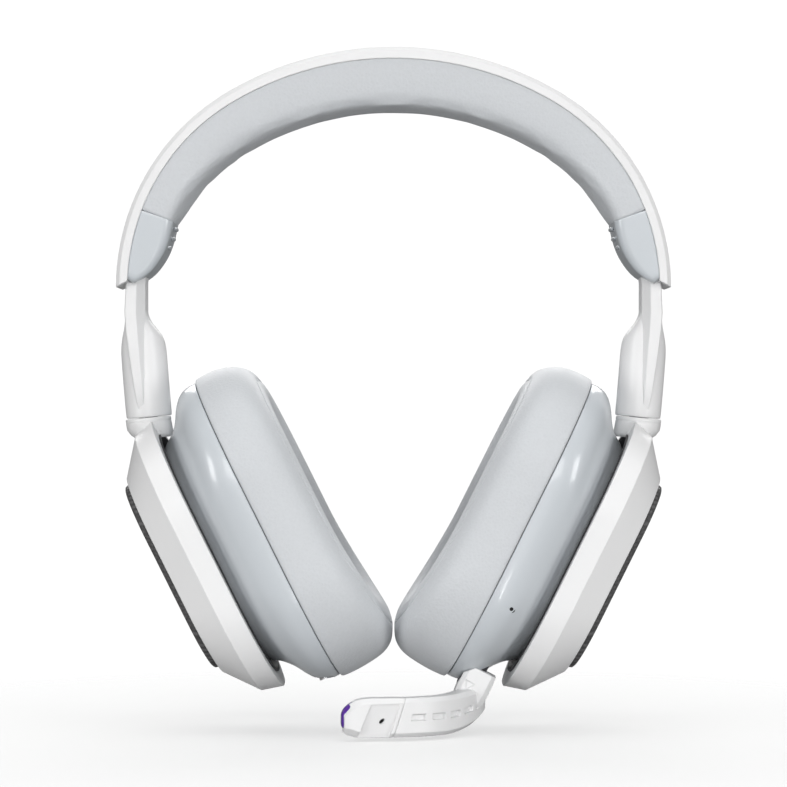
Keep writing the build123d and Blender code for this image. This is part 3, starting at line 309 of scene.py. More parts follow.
floor_mesh = bmesh.new()
bmesh.ops.create_grid(floor_mesh, x_segments=1, y_segments=1, size=6)
bmesh.ops.translate(floor_mesh, verts=floor_mesh.verts, vec=(0, 0, cad_box[0][2] - 0.001))
floor_data = bpy.data.meshes.new("floor")
floor_mesh.to_mesh(floor_data)
floor_mesh.free()
floor = bpy.data.objects.new("floor", floor_data)
bpy.context.collection.objects.link(floor)
floor_finish = Finish("floor", (0.88, 0.88, 0.88), 0.8)
floor_finish.tint(floor_finish.noise(0.4), 0.99, 1.01)
away = floor_finish.node("VectorMath", {"operation": "LENGTH"}, [floor_finish.place], "Value")
floor_finish.tree.links.new(floor_finish.node("MapRange", {"interpolation_type": "SMOOTHSTEP"}, {
    "Value": away, "From Min": 0.1, "From Max": 0.45, "To Min": 0.55, "To Max": 0.0}).socket,
    floor_finish.surface.inputs["Alpha"])
floor.data.materials.append(floor_finish.material)

# ---------------------------------------------------------------- tools for shapes

def rounded(turn, height, width, radius):
    """A point of a rounded rectangle, (across, up), at a turn from 0 to 1 that starts at the top."""
    quarter, part = divmod((turn % 1.0) * 4, 1.0)
    if quarter in (1, 3):
        part = 1 - part
    run = 0.2
    x_flat, y_flat = width / 2 - radius, height / 2 - radius
    if part < run:
        x, y = x_flat * part / run, height / 2
    elif part > 1 - run:
        x, y = width / 2, y_flat * (1 - part) / run
    else:
        angle = (part - run) / (1 - 2 * run) * pi / 2
        x, y = x_flat + radius * sin(angle), y_flat + radius * cos(angle)
    return (x if quarter < 2 else -x), (y if quarter in (0, 3) else -y)


def skin(count, stations, closed=False):
    """A bmesh skinned over stations, each of which turns a point's number into its place in millimetres."""
    mesh = bmesh.new()
    ring = bmesh.ops.create_circle(mesh, segments=count, radius=1)["verts"]
    first = ring
    for number, vert in enumerate(ring):
        vert.co = stations[0](number)
    for station in stations[1:]:
        order = {vert: number for number, vert in enumerate(ring)}
        edges = [e for e in mesh.edges if e.verts[0] in order and e.verts[1] in order]
        made = bmesh.ops.extrude_edge_only(mesh, edges=edges)["geom"]
        fresh = [None] * count
        for vert in made:
            if isinstance(vert, bmesh.types.BMVert):
                old = next(e.other_vert(vert) for e in vert.link_edges if e.other_vert(vert) in order)
                fresh[order[old]] = vert
        for number, vert in enumerate(fresh):
            vert.co = station(number)
        ring = fresh
    ends = [set(first), set(ring)]
    loops = [[e for e in mesh.edges if e.verts[0] in end and e.verts[1] in end and e.is_boundary]
             for end in ends]
    if closed:
        bmesh.ops.bridge_loops(mesh, edges=loops[0] + loops[1])
    else:
        for loop in loops:
            bmesh.ops.edgeloop_fill(mesh, edges=loop)
    return mesh


def outwards(mesh):
    """Turn a mesh's faces to point out of it."""
    bmesh.ops.recalc_face_normals(mesh, faces=mesh.faces)


def make_piece(name, mesh, slot, body, *nodes):
    """Turn a bmesh drawn in millimetres into a piece that wears a slot's finish, rides on a body and
    replaces CAD nodes."""
    bmesh.ops.scale(mesh, vec=(MM, MM, MM), verts=mesh.verts)
    outwards(mesh)
    data = bpy.data.meshes.new(name)
    mesh.to_mesh(data)
    mesh.free()
    for face in data.polygons:
        face.use_smooth = True
    piece = bpy.data.objects.new(name, data)
    bpy.context.collection.objects.link(piece)
    wear(piece, slot)
    if body:
        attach(piece, body)
    if nodes:
        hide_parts(*nodes)
    return piece


def subdivide(piece, levels):
    """Round a piece's whole skin."""
    smooth = piece.modifiers.new("smooth skin", "SUBSURF")
    smooth.levels = smooth.render_levels = levels


def soften(piece, width, segments, angle):
    """Round a piece's edges that are sharper than an angle, by a width in millimetres."""
    edge = piece.modifiers.new("softened edges", "BEVEL")
    edge.width, edge.segments, edge.limit_method = width * MM, segments, "ANGLE"
    edge.angle_limit = radians(angle)
    edge.harden_normals = True


def inflate(piece, held, pressure, most):
    """Blow a closed cover up as cloth whose held points stay where they are sewn, and keep the result."""
    rest = [v.co.copy() for v in piece.data.vertices]
    group = piece.vertex_groups.new(name="sewn")
    group.add([number for number, place in enumerate(rest) if held(number)], 1.0, "REPLACE")
    cloth = piece.modifiers.new("cloth", "CLOTH")
    cloth.settings.vertex_group_mass = "sewn"
    cloth.settings.quality = 6
    cloth.settings.mass = 0.2
    cloth.settings.tension_stiffness = cloth.settings.compression_stiffness = 12
    cloth.settings.shear_stiffness = 6
    cloth.settings.bending_stiffness = 0.4
    cloth.settings.use_pressure = True
    cloth.settings.uniform_pressure_force = pressure
    cloth.settings.effector_weights.gravity = 0
    cloth.collision_settings.use_collision = False
    for step in range(1, 21):
        bpy.context.scene.frame_set(step)
    blown = piece.evaluated_get(bpy.context.evaluated_depsgraph_get()).to_mesh()
    moved = [v.co.copy() for v in blown.vertices]
    piece.modifiers.remove(cloth)
    bpy.context.scene.frame_set(1)
    for vert, start, end in zip(piece.data.vertices, rest, moved):
        shift = end - start
        if shift.length > most * MM:
            shift = shift.normalized() * most * MM
        vert.co = start + shift
    piece.vertex_groups.clear()


def carve(piece, cutter):
    """Cut a closed shape, drawn in millimetres, out of a piece."""
    bmesh.ops.scale(cutter, vec=(MM, MM, MM), verts=cutter.verts)
    outwards(cutter)
    data = bpy.data.meshes.new("cutter")
    cutter.to_mesh(data)
    cutter.free()
    tool = bpy.data.objects.new("cutter", data)
    bpy.context.collection.objects.link(tool)
    cut = piece.modifiers.new("cut", "BOOLEAN")
    cut.object, cut.solver, cut.operation = tool, "EXACT", "DIFFERENCE"
    result = bpy.data.meshes.new_from_object(piece.evaluated_get(bpy.context.evaluated_depsgraph_get()))
    piece.modifiers.remove(cut)
    piece.data = result
    bpy.data.objects.remove(tool)
    bpy.data.meshes.remove(data)


# ---------------------------------------------------------------- the cups' own directions

class Cup:
    """One cup's directions: u runs up along it, v runs towards the head, y runs rearwards."""

    def __init__(self, hand):
        self.hand = hand
        self.side = 1 if hand == "left" else -1
        self.out = Vector(JOINTS[hand + "_tag_pull"]["axis"]).normalized()
        self.up = Vector((self.side * -self.out.z, 0, abs(self.out.x)))
        self.centre = Vector(JOINTS[hand + "_tilt"]["pos_m"]) / MM - self.out * 5

    def at(self, u, v, y):
        return self.centre + self.up * u - self.out * v + Vector((0, y, 0))


CUPS = {hand: Cup(hand) for hand in HANDS}


# ---------------------------------------------------------------- ear cushions

PAD_TALL, PAD_WIDE, PAD_CORNER = 104.0, 84.0, 34.5


PAD_FACE = 35.1
PAD_FOOT_SWELL = 3.8


def pad_face(u):
    """How far the contact face stands from the frame, which is more at the cushion's foot."""
    drop = min(max((-u - 5) / 37, 0), 1)
    return PAD_FACE + PAD_FOOT_SWELL * drop ** 1.6


SEAM_INSET = 8.7

# Rows of the cushion: what its depth is measured from, how far in from the rim, and that depth.
PAD_SECTION = [
    ("back", 3.4, 16.3), ("back", 0.7, 16.3), ("back", 0.1, 16.75), ("back", 0.0, 18.5), ("back", -0.1, 22.5),
    ("face", 0.5, -9.4), ("face", 1.5, -6.2), ("face", 3.2, -3.7), ("face", 5.4, -2.0), ("face", 7.8, -1.0),
    ("seam", SEAM_INSET, -1.5), ("face", 9.6, -0.7), ("face", 12.4, -0.1), ("face", 15.4, -0.4),
    ("face", 18.2, -1.7), ("face", 20.0, -4.2), ("face", 20.9, -8.0), ("back", 21.1, 23.0), ("back", 21.0, 19.0),
    ("back", 20.6, 16.3),
]
PAD_POINTS = 112
WELT_POINTS = 8
WELT_RADIUS = 0.28
WELT_DEPTH = -1.25


def pad_station(cup, kind, inset, depth):
    """One ring of an ear cushion, at an inset from its rim and a depth from its back or its face."""
    def place(number):
        y, u = rounded(number / PAD_POINTS, PAD_TALL - 2 * inset, PAD_WIDE - 2 * inset,
                       max(PAD_CORNER - inset, 8))
        v = depth if kind == "back" else pad_face(u) + depth
        return cup.at(u, v, y)
    return place


HALF_GAP = 0.25 * MM


def make_ear_cushion(hand):
    """The soft ring round the ear: its cover is blown up between its sewn rows."""
    cup = CUPS[hand]
    mesh = skin(PAD_POINTS, [pad_station(cup, *row) for row in PAD_SECTION], closed=True)
    piece = make_piece(hand + "_ear_cushion_cover", mesh, "cushion_grey", hand + "_cup", hand + "_ear_cushion")
    sewn = {row for row, (kind, inset, depth) in enumerate(PAD_SECTION) if kind == "seam" or depth == 16.3}
    inflate(piece, lambda number: number // PAD_POINTS in sewn, 5.0, 1.3)
    for vert in piece.data.vertices:
        vert.co.x = cup.side * max(cup.side * vert.co.x, HALF_GAP)
    subdivide(piece, 2)
    return piece


def make_seam(hand):
    """The sewn welt that stands in the groove between the cushion's side and its face."""
    cup = CUPS[hand]
    stations = []
    for turn in range(WELT_POINTS):
        angle = tau * turn / WELT_POINTS
        stations.append(pad_station(cup, "seam", SEAM_INSET + WELT_RADIUS * cos(angle),
                                    WELT_DEPTH + WELT_RADIUS * sin(angle)))
    mesh = skin(PAD_POINTS, stations, closed=True)
    return make_piece(hand + "_cushion_seam", mesh, "cushion_grey", hand + "_cup")


CLOTH_TALL, CLOTH_WIDE, CLOTH_CORNER = 61.6, 41.6, 19.8
CLOTH_DEPTH, CLOTH_DOME, CLOTH_INMOST = 17.0, 1.2, 19


def make_scrim(hand):
    """The knit stretched over the driver, domed a little by the ribs behind it."""
    cup = CUPS[hand]

    def station(inset):
        depth = CLOTH_DEPTH + CLOTH_DOME * sin(inset / CLOTH_INMOST * pi / 2)

        def place(number):
            y, u = rounded(number / 64, CLOTH_TALL - 2 * inset, CLOTH_WIDE - 2 * inset, CLOTH_CORNER - inset)
            return cup.at(u, depth, y)
        return place
    mesh = skin(64, [station(inset) for inset in (0, 1, 3, 6, 9, 12, 15, 17, CLOTH_INMOST)])
    rim = min(mesh.faces, key=lambda face: (face.calc_center_median() - cup.at(0, CLOTH_DEPTH, 0)).length
              if len(face.verts) > 4 else 1e9)
    bmesh.ops.delete(mesh, geom=[rim], context="FACES_ONLY")
    piece = make_piece(hand + "_driver_cloth", mesh, "scrim_grey", hand + "_cup", hand + "_cushion_scrim")
    thick = piece.modifiers.new("cloth thickness", "SOLIDIFY")
    thick.thickness = 0.4 * MM
    return piece


# ---------------------------------------------------------------- cup housings

# Rows of the casing: depth towards the head, half its height, and its corner radius.
RIM_HALF = 50.9
HOUSE_SECTION = [
    (-7.6, 29.0, 20.0), (-5.5, 32.6, 22.5), (-3.0, 36.0, 25.0), (-0.5, 38.3, 26.8), (1.4, 39.4, 27.4),
    (3.0, 40.5, 28.2), (4.4, 41.9, 29.4), (5.6, 43.7, 30.6), (6.8, 45.8, 31.5), (8.0, 47.5, 32.1),
    (9.4, 49.0, 32.5), (11.0, 50.1, 32.8), (12.6, 50.7, 33.0), (14.4, RIM_HALF, 33.0), (15.9, RIM_HALF, 33.0),
    (16.2, 50.6, 32.8),
]
NARROWER = 9.8
CASING_WALL = 2.2


def opening(mesh, cup, u, v, y, along, half_across, half_up, length):
    """Add a round or oval plug to a cutter: it runs along the cup (along "u") or rearwards (along "y")."""
    across = Vector((0, 1, 0)) if along == "u" else cup.up
    way = cup.up if along == "u" else Vector((0, 1, 0))
    turn = Matrix((across, way.cross(across), way)).transposed().to_4x4()
    plug = bmesh.ops.create_cone(mesh, cap_ends=True, segments=40, radius1=1, radius2=1, depth=1)["verts"]
    radius = min(half_across, half_up)
    for vert in plug:
        push = half_across - radius if abs(vert.co.x) > 1e-6 else 0
        vert.co.x = vert.co.x * radius + (push if vert.co.x > 0 else -push)
        vert.co.y *= half_up
    bmesh.ops.scale(mesh, vec=(1, 1, length), verts=plug)
    bmesh.ops.transform(mesh, matrix=Matrix.Translation(cup.at(u, v, y)) @ turn, verts=plug)


INNER_MIC = (-22.3, 9.0)


def casing_openings(cup):
    """Cutters for the left cup's sockets, pin-hole and switch, or the right cup's port and roller."""
    mesh = bmesh.new()
    if cup.hand == "left":
        opening(mesh, cup, -47.0, 9.6, 17.0, "u", 2.6, 2.6, 14)
        opening(mesh, cup, -47.0, 9.6, -18.5, "u", 2.4, 2.4, 14)
        opening(mesh, cup, *INNER_MIC, -40.0, "y", 0.6, 0.6, 6)
        opening(mesh, cup, 8.0, 12.0, 40.0, "y", 4.35, 1.4, 8)
    else:
        opening(mesh, cup, -49.0, 11.5, -12.0, "u", 5.4, 2.6, 14)
        opening(mesh, cup, 0.0, 11.8, 40.0, "y", 5.4, 1.9, 8)
    return mesh


def make_inner_mic():
    """The little microphone behind a pin-hole of the left casing."""
    mesh = bmesh.new()
    opening(mesh, CUPS["left"], *INNER_MIC, -38.5, "y", 1.2, 1.2, 1.0)
    return make_piece("inner_mic", mesh, "mic_foam", "left_cup", "built_in_mic")


def make_collar(hand):
    """The round foot of the arm's joint, on top of the frame."""
    side = CUPS[hand].side
    seam = Vector(JOINTS[hand + "_swivel"]["pos_m"]) / MM
    down = Vector(JOINTS[hand + "_swivel"]["axis"]).normalized()
    if down.z > 0:
        down = -down
    across = Vector((side, 0, 0))
    across = (across - down * across.dot(down)).normalized()
    behind = down.cross(across)

    def station(drop, radius, shift=0.0):
        def place(number):
            angle = tau * number / 48
            return seam + down * drop + across * (radius * cos(angle) + shift) + behind * (radius * sin(angle))
        return place
    rows = [(-0.1, 6.7), (-0.05, 7.0), (0.25, 7.2), (1.0, 7.2), (1.15, 7.05), (1.3, 7.2), (3.4, 7.2, -0.2),
            (5.2, 6.7, -0.9), (6.0, 6.1, -1.4), (6.4, 5.4, -1.8)]
    mesh = skin(48, [station(*row) for row in rows])
    piece = make_piece(hand + "_swivel_collar", mesh, "shell_white", hand + "_yoke")
    soften(piece, 0.2, 2, 30)
    return piece


def make_housing(hand):
    """A cup's casing, with a waist behind and a bulging rim, and openings for what it holds."""
    cup = CUPS[hand]

    def station(v, half, radius, wall=0.0):
        wide = half - NARROWER + (RIM_HALF - half) * 0.6 * min(max((v - 1) / 3, 0), 1)

        def place(number):
            y, u = rounded(number / 128, 2 * (half - wall), 2 * (wide - wall), radius - wall)
            return cup.at(u, v, y)
        return place
    inner = [station(v + CASING_WALL if v < 12 else v, half, radius, CASING_WALL)
             for v, half, radius in HOUSE_SECTION[:-2]]
    outer = [station(v, half, radius) for v, half, radius in HOUSE_SECTION]
    mesh = skin(128, outer + [station(16.2, 48.7, 30.9, 0.0)] + inner[::-1])
    piece = make_piece(hand + "_cup_casing", mesh, "casing_grey", hand + "_cup", hand + "_cup_housing")
    carve(piece, casing_openings(cup))
    for face in piece.data.polygons:
        face.use_smooth = True
    edges = piece.modifiers.new("crisp openings", "WEIGHTED_NORMAL")
    edges.keep_sharp = True
    return piece


# Rows of the outer plate: depth, and half its height.
TAG_ROWS = [(-15.45, 31.65), (-17.0, 31.7), (-17.7, 31.45), (-18.05, 30.8), (-18.1, 29.6), (-18.1, 27.0),
            (-18.1, 22.0), (-18.1, 16.0), (-18.1, 10.0)]
TAG_HALF, TAG_NARROWER, TAG_CORNER = 31.75, 4.25, 17.0


def make_tag(hand):
    """The dark plate that pulls off the frame, with a rolled edge."""
    cup = CUPS[hand]

    def station(v, half):
        corner = max(TAG_CORNER - (TAG_HALF - half), 3.0)

        def place(number):
            y, u = rounded(number / 72, 2 * half, 2 * (half - TAG_NARROWER), corner)
            return cup.at(u, v, y)
        return place
    mesh = skin(72, [station(*row) for row in TAG_ROWS])
    return make_piece(hand + "_tag_plate", mesh, "tag_dark", hand + "_tag", hand + "_speaker_tag")


# ---------------------------------------------------------------- headband

# The band's two curves: each is a crown arc and, past BEND degrees from the top, a side arc, as (x, z, radius).
BEND = 30
SHELL_DEPTH = 3.45
OUTER = {"crown": (0.0, 16.6 - 102.5, 102.5), "side": (15.8, -58.44, 70.8)}
INNER = {"crown": (0.0, -91.7, 91.7), "side": (16.85, -62.52, 58.0)}


def arch_point(arch, angle, depth):
    """A point of the band's curve at an angle from the crown, depth below its surface."""
    lean_over = abs(angle)
    x, z, radius = arch["crown"] if lean_over <= BEND else arch["side"]
    slope = radians(lean_over)
    point = Vector((x + (radius - depth) * sin(slope), 0, z + (radius - depth) * cos(slope)))
    if angle < 0:
        point.x = -point.x
    return point


def band_half_width(z):
    """Half the band's width front to back, which narrows towards its ends."""
    return 18.0 - (17.6 - z) / 75.6 * 4.0


BAND_POINTS = 48
BAND_SLICES = 72
CUSHION_END = 68.7


def pad_slice(low, high, inset=0.0, crown=0.9, corner=3.6):
    """A slice of a band cushion between a point of its underside and one of its top."""
    span = high - low
    thickness = span.length
    half = band_half_width((low.z + high.z) / 2) - 0.3

    def place(number):
        upper = number <= BAND_POINTS / 4 or number >= BAND_POINTS * 3 / 4
        radius = min(0.35 if upper else corner, thickness / 2.3)
        y, up = rounded(number / BAND_POINTS, thickness - 2 * inset, 2 * (half - inset), radius)
        share = 0.5 + up / thickness
        if not upper:
            share -= crown / thickness * (1 - (y / half) ** 2) * (1 - 2 * share)
        return low + span * share + Vector((0, y, 0))
    return place


def make_headband_cushion():
    """The padded sleeve under the band, sewn along its top and its ends."""
    stations = []
    for k in range(BAND_SLICES + 1):
        angle = -CUSHION_END + 2 * CUSHION_END * k / BAND_SLICES
        low, high = arch_point(INNER, angle * 0.94, 0.35), arch_point(OUTER, angle, SHELL_DEPTH)
        at_end = k in (0, BAND_SLICES)
        if at_end:
            stations.append(pad_slice(low, high, 0.12, 0.0))
        stations.append(pad_slice(low, high, 0.0, 0.0 if at_end else 0.5))
    stations[-1], stations[-2] = stations[-2], stations[-1]
    mesh = skin(BAND_POINTS, stations)
    piece = make_piece("headband_cushion_cover", mesh, "cushion_grey", "headband", "headband_cushion")
    last = len(stations) - 1

    def held(number):
        row, point = divmod(number, BAND_POINTS)
        top = point <= 9 or point >= BAND_POINTS - 9
        return top or row <= 1 or row >= last - 1
    inflate(piece, held, 4.0, 1.0)
    subdivide(piece, 1)
    return piece


# Slices of the end cap: angle on the band's outer curve, then the underside's x and z.
END_CAP = [
    (68.8, 68.75, -37.55), (69.1, 68.85, -37.9), (71.0, 69.3, -40.0), (73.5, 69.9, -42.8),
    (76.5, 71.2, -46.5), (79.0, 72.7, -49.2), (81.5, 74.6, -51.9), (84.0, 76.8, -54.2),
    (86.3, 79.6, -55.8), (88.2, 82.0, -57.0),
]


def make_end_cap(hand):
    """The band's end, whose underside runs in a curve to the slanted mouth the arm slides out of."""
    side = CUPS[hand].side
    stations = []
    for k, (angle, x, z) in enumerate(END_CAP):
        high = arch_point(OUTER, angle, SHELL_DEPTH)
        low = Vector((x, 0, z))
        high.x *= side
        low.x *= side
        if k == 0:
            stations += [pad_slice(low, high, 0.1, 0.0, 3.4)] * 2
        stations.append(pad_slice(low, high, 0.0, 0.0, 3.4 - 0.15 * k))
    mesh = skin(BAND_POINTS, stations)
    piece = make_piece(hand + "_end_cap_shell", mesh, "casing_grey", "headband", hand + "_end_cap")
    subdivide(piece, 1)
    return piece


def make_size_marks(hand):
    """Three small raised ribs on the end cap's inner face, felt for when the arm's length is set."""
    side = CUPS[hand].side
    mesh = bmesh.new()
    for x, z, turn in ((68.75, -39.4, 18), (69.6, -42.4, 24), (70.8, -45.2, 30)):
        slope = radians(turn)
        place = Matrix.Translation((side * x, 0, z)) @ Matrix.Rotation(side * slope, 4, "Y")
        made = bmesh.ops.create_uvsphere(mesh, u_segments=20, v_segments=10, radius=1.0)["verts"]
        bmesh.ops.scale(mesh, vec=(0.75, 6.5, 0.75), verts=made)
        bmesh.ops.transform(mesh, matrix=place, verts=made)
    return make_piece(hand + "_size_marks", mesh, "casing_grey", "headband")


# ---------------------------------------------------------------- sliding arms

# Slices of the arm: height, place across, its halves across and along, and its corner radius.
ARM_SECTION = [
    (-50.0, 80.0, 2.6, 6.0, 0.8), (-57.0, 80.9, 2.85, 6.0, 0.8), (-62.0, 81.2, 3.05, 6.1, 0.9),
    (-65.0, 81.25, 3.2, 6.2, 1.0), (-67.0, 81.0, 3.45, 6.3, 1.6), (-68.6, 80.6, 3.95, 6.5, 2.4),
    (-70.2, 80.1, 4.7, 6.7, 3.4), (-71.8, 79.65, 5.55, 6.9, 4.4), (-73.4, 79.3, 6.3, 7.0, 5.6),
    (-75.2, 79.1, 6.85, 7.1, 6.5), (-77.5, 78.95, 7.15, 7.2, 7.0), (-80.5, 78.7, 7.2, 7.2, 7.1),
    (-86.0, 78.3, 7.2, 7.2, 7.1), (-92.0, 77.8, 7.2, 7.2, 7.1), (-97.9, 77.25, 7.2, 7.2, 7.1),
    (-98.5, 77.2, 7.1, 7.1, 7.0), (-98.7, 77.2, 6.8, 6.8, 6.7),
]
# Slices of the keel: height, place across, and its halves across and along.
KEEL_SECTION = [
    (-50.0, 80.0, 2.75, 8.7), (-56.2, 80.95, 2.98, 9.15), (-66.0, 81.15, 3.2, 9.2), (-72.0, 80.75, 3.15, 9.15),
    (-78.0, 80.2, 2.95, 8.95), (-84.0, 79.65, 2.65, 8.5), (-90.0, 79.1, 2.3, 7.9), (-94.0, 78.75, 2.0, 7.3),
    (-96.8, 78.55, 1.4, 6.6),
]


BARREL_SLOPE = 0.0875


def make_arm(hand):
    """The arm: a flat neck that swells into a round, slightly leaning barrel."""
    side = CUPS[hand].side

    def station(z, x, half_x, half_y, radius):
        def place(number):
            y, across = rounded(number / 64, 2 * half_x, 2 * half_y, min(radius, half_x * 0.99))
            tilt = BARREL_SLOPE * min(max((-z - 66) / 10, 0), 1)
            return Vector((side * (x + across), y, z - across * tilt))
        return place
    mesh = skin(64, [station(*row) for row in ARM_SECTION])
    piece = make_piece(hand + "_arm_casing", mesh, "shell_white", hand + "_slider", hand + "_slider_arm")
    subdivide(piece, 1)
    return piece


KEEL_CORNERS = [(1, 0.96), (0.9, 1), (-0.14, 1), (-1, 0.66), (-1, -0.66), (-0.14, -1), (0.9, -1), (1, -0.96)]


def make_keel(hand):
    """The flat bar of the arm's neck, which runs down over the barrel and dies away in it."""
    side = CUPS[hand].side

    def station(z, x, half_x, half_y):
        def place(number):
            across, along = KEEL_CORNERS[number]
            return Vector((side * (x + across * half_x), along * half_y, z))
        return place
    mesh = skin(8, [station(*row) for row in KEEL_SECTION])
    piece = make_piece(hand + "_arm_keel", mesh, "shell_white", hand + "_slider")
    soften(piece, 0.35, 3, 14)
    return piece


# ---------------------------------------------------------------- boom microphone

FLEX = Vector(JOINTS["mic_flex"]["pos_m"]) / MM
BOOM_CENTRE = Vector((-2.6025, -20.7573, FLEX.z + 0.4))
BOOM_RADIUS = 23.3
BOOM_RISE = 2.4
SLOTS = 5
SLOT_PITCH = 15.5
LAST_SLOT = 72.4


def boom_frame(angle):
    """Place and directions (up, outwards, back along the boom) at an angle round its curve."""
    slope = radians(angle)
    outward = Vector((cos(slope), -sin(slope), 0))
    place = BOOM_CENTRE + outward * BOOM_RADIUS
    return place, Matrix((Vector((0, 0, 1)), outward, Vector((0, 0, 1)).cross(outward))).transposed()


SLOT_HALF = 1.0
BAR_POINTS = 14


def bar(height, thickness, edge):
    """A bar's section as (up, outwards) points: its outer face has room for a slot."""
    tall, deep, slot = height / 2, thickness / 2, SLOT_HALF
    return [(-tall + edge, deep), (-slot, deep), (slot, deep), (tall - edge, deep),
            (tall, deep - edge), (tall, 0), (tall, -deep + edge), (tall - edge, -deep), (slot, -deep),
            (-slot, -deep), (-tall + edge, -deep), (-tall, -deep + edge), (-tall, 0), (-tall, deep - edge)]


def casing_solid(cup, margin):
    """The room a cup's casing takes up, with a margin round it."""
    def station(v, half, radius):
        def place(number):
            y, u = rounded(number / 96, 2 * (half + margin), 2 * (half - NARROWER + margin), radius + margin)
            return cup.at(u, v, y)
        return place
    rows = HOUSE_SECTION[:-1] + [(24.0, RIM_HALF, 33.0)]
    return skin(96, [station(*row) for row in rows])


def make_root():
    """The block that stands out of the cup and carries the arm."""
    cup = CUPS["left"]
    front = Vector((0, -1, 0))
    block = Matrix((-cup.out, front, (-cup.out).cross(front))).transposed()
    stations = []
    for x, z, height, thickness, edge in ((27.3, -176.8, 9.6, 11.2, 1.2), (25.9, -179.6, 9.8, 11.4, 1.4),
                                          (24.3, -182.8, 9.9, 11.3, 1.4), (23.1, -185.2, 9.7, 10.8, 1.6),
                                          (22.2, -187.2, 8.6, 9.6, 1.8), (21.6, -188.4, 6.6, 7.6, 1.8)):
        section = bar(height, thickness, edge)

        def station(number, x=x, z=z, section=section):
            tall, deep = section[number]
            return Vector((x, -20.0, z)) + block @ Vector((tall, deep, 0))
        stations.append(station)
    mesh = skin(BAR_POINTS, stations)
    piece = make_piece("mic_root", mesh, "shell_white", "mic", "mic_root_block")
    carve(piece, casing_solid(cup, 0.5))
    dimple = bmesh.new()
    bmesh.ops.create_cone(dimple, cap_ends=True, segments=3, radius1=1.6, radius2=2.3, depth=1.4)
    bmesh.ops.rotate(dimple, verts=dimple.verts, cent=(0, 0, 0), matrix=Matrix.Rotation(pi / 2, 3, "X"))
    bmesh.ops.rotate(dimple, verts=dimple.verts, cent=(0, 0, 0), matrix=Matrix.Rotation(-0.5, 3, "Y"))
    bmesh.ops.translate(dimple, verts=dimple.verts, vec=(23.2, -25.9, -180.8))
    carve(piece, dimple)
    soften(piece, 0.3, 2, 22)
    return piece


def make_boom():
    """The arm, one bar that curves forwards round the cheek and falls a little as it goes."""
    angles = []
    angle = LAST_SLOT - SLOT_PITCH * (SLOTS + 0.5)
    while angle < 79.0:
        angles.append(angle)
        angle += SLOT_PITCH / 6
    angles += [79.8, 80.1]

    def station_at(angle):
        place, turn = boom_frame(angle)
        near = min(max((50 - angle) / 50, 0), 1.2)
        wider = 3.2 * min(max((40 - angle) / 40, 0), 1.2) ** 2
        place = place + turn @ Vector((BOOM_RISE * near ** 2, wider, 0))
        height, thickness = (11.8 - 2.2 * near ** 2, 7.1) if angle < 80 else (11.5, 6.8)
        section = bar(height, thickness, 1.3)
        slant = SLANT * min(max((angle - 62) / 16, 0), 1)

        def station(number):
            tall, deep = section[number]
            return place + turn @ Vector((tall, deep, slant * tall))
        return station
    mesh = skin(BAR_POINTS, [station_at(angle) for angle in angles])
    slots = {}
    for face in mesh.faces:
        reach = face.calc_center_median() - BOOM_CENTRE
        around = degrees(atan2(-reach.y, reach.x))
        lift = BOOM_RISE * min(max((50 - around) / 50, 0), 1.2) ** 2
        if abs(reach.z - lift) < 0.6 and reach.xy.length > BOOM_RADIUS + 3:
            number, part = divmod(LAST_SLOT - around, SLOT_PITCH)
            if part < SLOT_PITCH * 4 / 6 and 0 <= number < SLOTS:
                slots.setdefault(int(number), []).append(face)
    for faces in slots.values():
        bmesh.ops.inset_region(mesh, faces=faces, thickness=0.15, depth=-1.3, use_even_offset=True)
    piece = make_piece("mic_boom", mesh, "shell_white", None, "mic_boom_arm")
    soften(piece, 0.3, 2, 22)
    start, end = boom_frame(34)[0] * MM, boom_frame(56)[0] * MM
    tuple(start)
    tuple(end)
    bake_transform(piece)
    return piece


HEAD_TURN = radians(80)
TIP_WAY = Vector((-sin(HEAD_TURN), -cos(HEAD_TURN), 0))
TIP_OUT = Vector((cos(HEAD_TURN), -sin(HEAD_TURN), 0))
SLANT = 0.32
HEAD_START = BOOM_CENTRE + TIP_OUT * BOOM_RADIUS


def head_at(run, tall, deep):
    """A point of the head: run along it from the arm's end, tall up it, deep towards its outer face."""
    return HEAD_START + TIP_WAY * run + Vector((0, 0, tall)) + TIP_OUT * deep


# Slices of the head: run, middle, height, thickness, chamfer and slant.
HEAD_ROWS = [
    (0.12, 0.0, 11.5, 6.8, 1.2, SLANT), (0.4, 0.0, 11.8, 7.15, 1.3, SLANT), (1.3, 0.0, 11.85, 7.3, 1.3, SLANT),
    (5.0, 0.0, 11.9, 7.4, 1.4, 0.32), (9.2, 0.0, 11.9, 7.4, 1.5, 0.2), (11.2, 0.0, 11.8, 7.3, 1.6, 0.12),
    (13.0, -0.1, 11.2, 7.1, 2.0, 0.05), (14.8, -0.45, 9.8, 6.7, 2.2, 0.0), (16.1, -0.9, 8.0, 6.0, 2.0, 0.0),
    (16.9, -1.2, 6.2, 5.0, 1.6, 0.0),
]


MIC_RUN, MIC_LOW = 5.5, -0.9


def head_turn():
    """The head's directions: along it, up and outwards."""
    return Matrix((TIP_WAY, Vector((0, 0, 1)), TIP_OUT)).transposed().to_4x4()


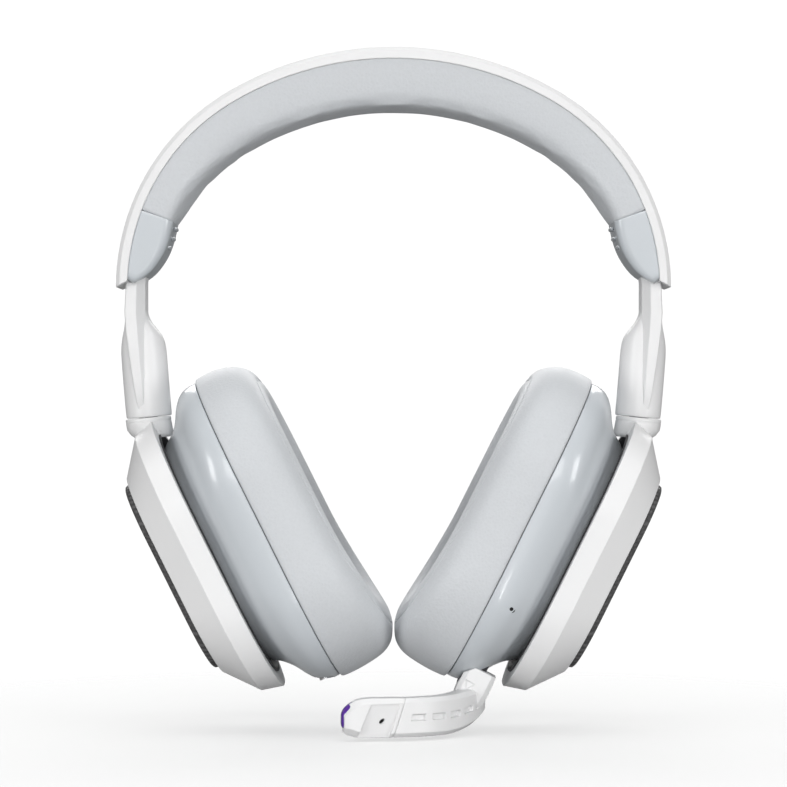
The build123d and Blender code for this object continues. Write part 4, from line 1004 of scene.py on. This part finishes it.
def make_head():
    """The head's casing, with a sloping facet on its face and a slanting slot for the microphone."""
    stations = []
    for run, middle, height, thickness, edge, slant in HEAD_ROWS:
        section = bar(height, thickness, edge)

        def station(number, run=run, middle=middle, slant=slant, section=section):
            tall, deep = section[number]
            return head_at(run - slant * tall, tall + middle, deep)
        stations.append(station)
    mesh = skin(BAR_POINTS, stations)
    piece = make_piece("mic_head_casing", mesh, "shell_white", "mic_head", "mic_head_shell")
    facet = bmesh.new()
    block = bmesh.ops.create_cube(facet, size=1)["verts"]
    for vert in block:
        left, low, front = vert.co.x > 0, vert.co.y < 0, vert.co.z > 0
        tall = -8.0 if low else 4.1
        run = (10.6 - 0.42 * tall if left else 1.4 - SLANT * tall)
        vert.co = head_at(run, tall, 6.0 if front else (1.5 if low else 3.5))
    carve(piece, facet)
    slot = bmesh.new()
    shape = bmesh.ops.create_cone(slot, cap_ends=True, segments=24, radius1=1, radius2=1, depth=3)["verts"]
    bmesh.ops.scale(slot, vec=(1.0, 0.55, 1), verts=shape)
    bmesh.ops.rotate(slot, verts=shape, cent=(0, 0, 0), matrix=Matrix.Rotation(radians(-42), 3, "Z"))
    place = Matrix.Translation(head_at(MIC_RUN, MIC_LOW, 2.9)) @ head_turn()
    bmesh.ops.transform(slot, matrix=place, verts=shape)
    carve(piece, slot)
    soften(piece, 0.35, 3, 24)
    return piece


def make_mic_foam():
    """The dark foam disc behind the head's slot."""
    mesh = bmesh.new()
    bmesh.ops.create_cone(mesh, cap_ends=True, segments=32, radius1=1.9, radius2=1.9, depth=1.6)
    place = Matrix.Translation(head_at(MIC_RUN, MIC_LOW, 0.9)) @ head_turn()
    bmesh.ops.transform(mesh, matrix=place, verts=mesh.verts)
    return make_piece("mic_foam", mesh, "mic_foam", "mic_head", "mic_capsule")


# Slices of the lens: run, middle, height and thickness.
TIP_ROWS = [(9.5, 1.0, 6.0, 4.6), (12.2, 1.1, 7.6, 5.2), (13.8, 0.85, 8.4, 5.2), (15.2, 0.45, 7.8, 4.8),
            (16.4, 0.0, 6.8, 4.2), (17.3, -0.35, 5.2, 3.2), (17.6, -0.6, 3.0, 1.9)]


def make_tip():
    """The glossy violet lens that wraps round the head's upper end."""
    def station(run, middle, height, thickness):
        def place(number):
            deep, tall = rounded(number / 40, height, thickness, min(height, thickness) / 2.05)
            return head_at(run, tall + middle, deep)
        return place
    mesh = skin(40, [station(*row) for row in TIP_ROWS])
    piece = make_piece("mic_tip_lens", mesh, "tip_violet", "mic_head", "mic_tip_ring")
    subdivide(piece, 1)
    return piece


# ---------------------------------------------------------------- everything in its place

for hand in HANDS:
    make_housing(hand)
    make_tag(hand)
    make_scrim(hand)
    make_ear_cushion(hand)
    make_seam(hand)
    make_end_cap(hand)
    make_size_marks(hand)
    make_arm(hand)
    make_keel(hand)
    make_collar(hand)
make_headband_cushion()
make_inner_mic()
make_root()
make_boom()
make_head()
make_mic_foam()
make_tip()
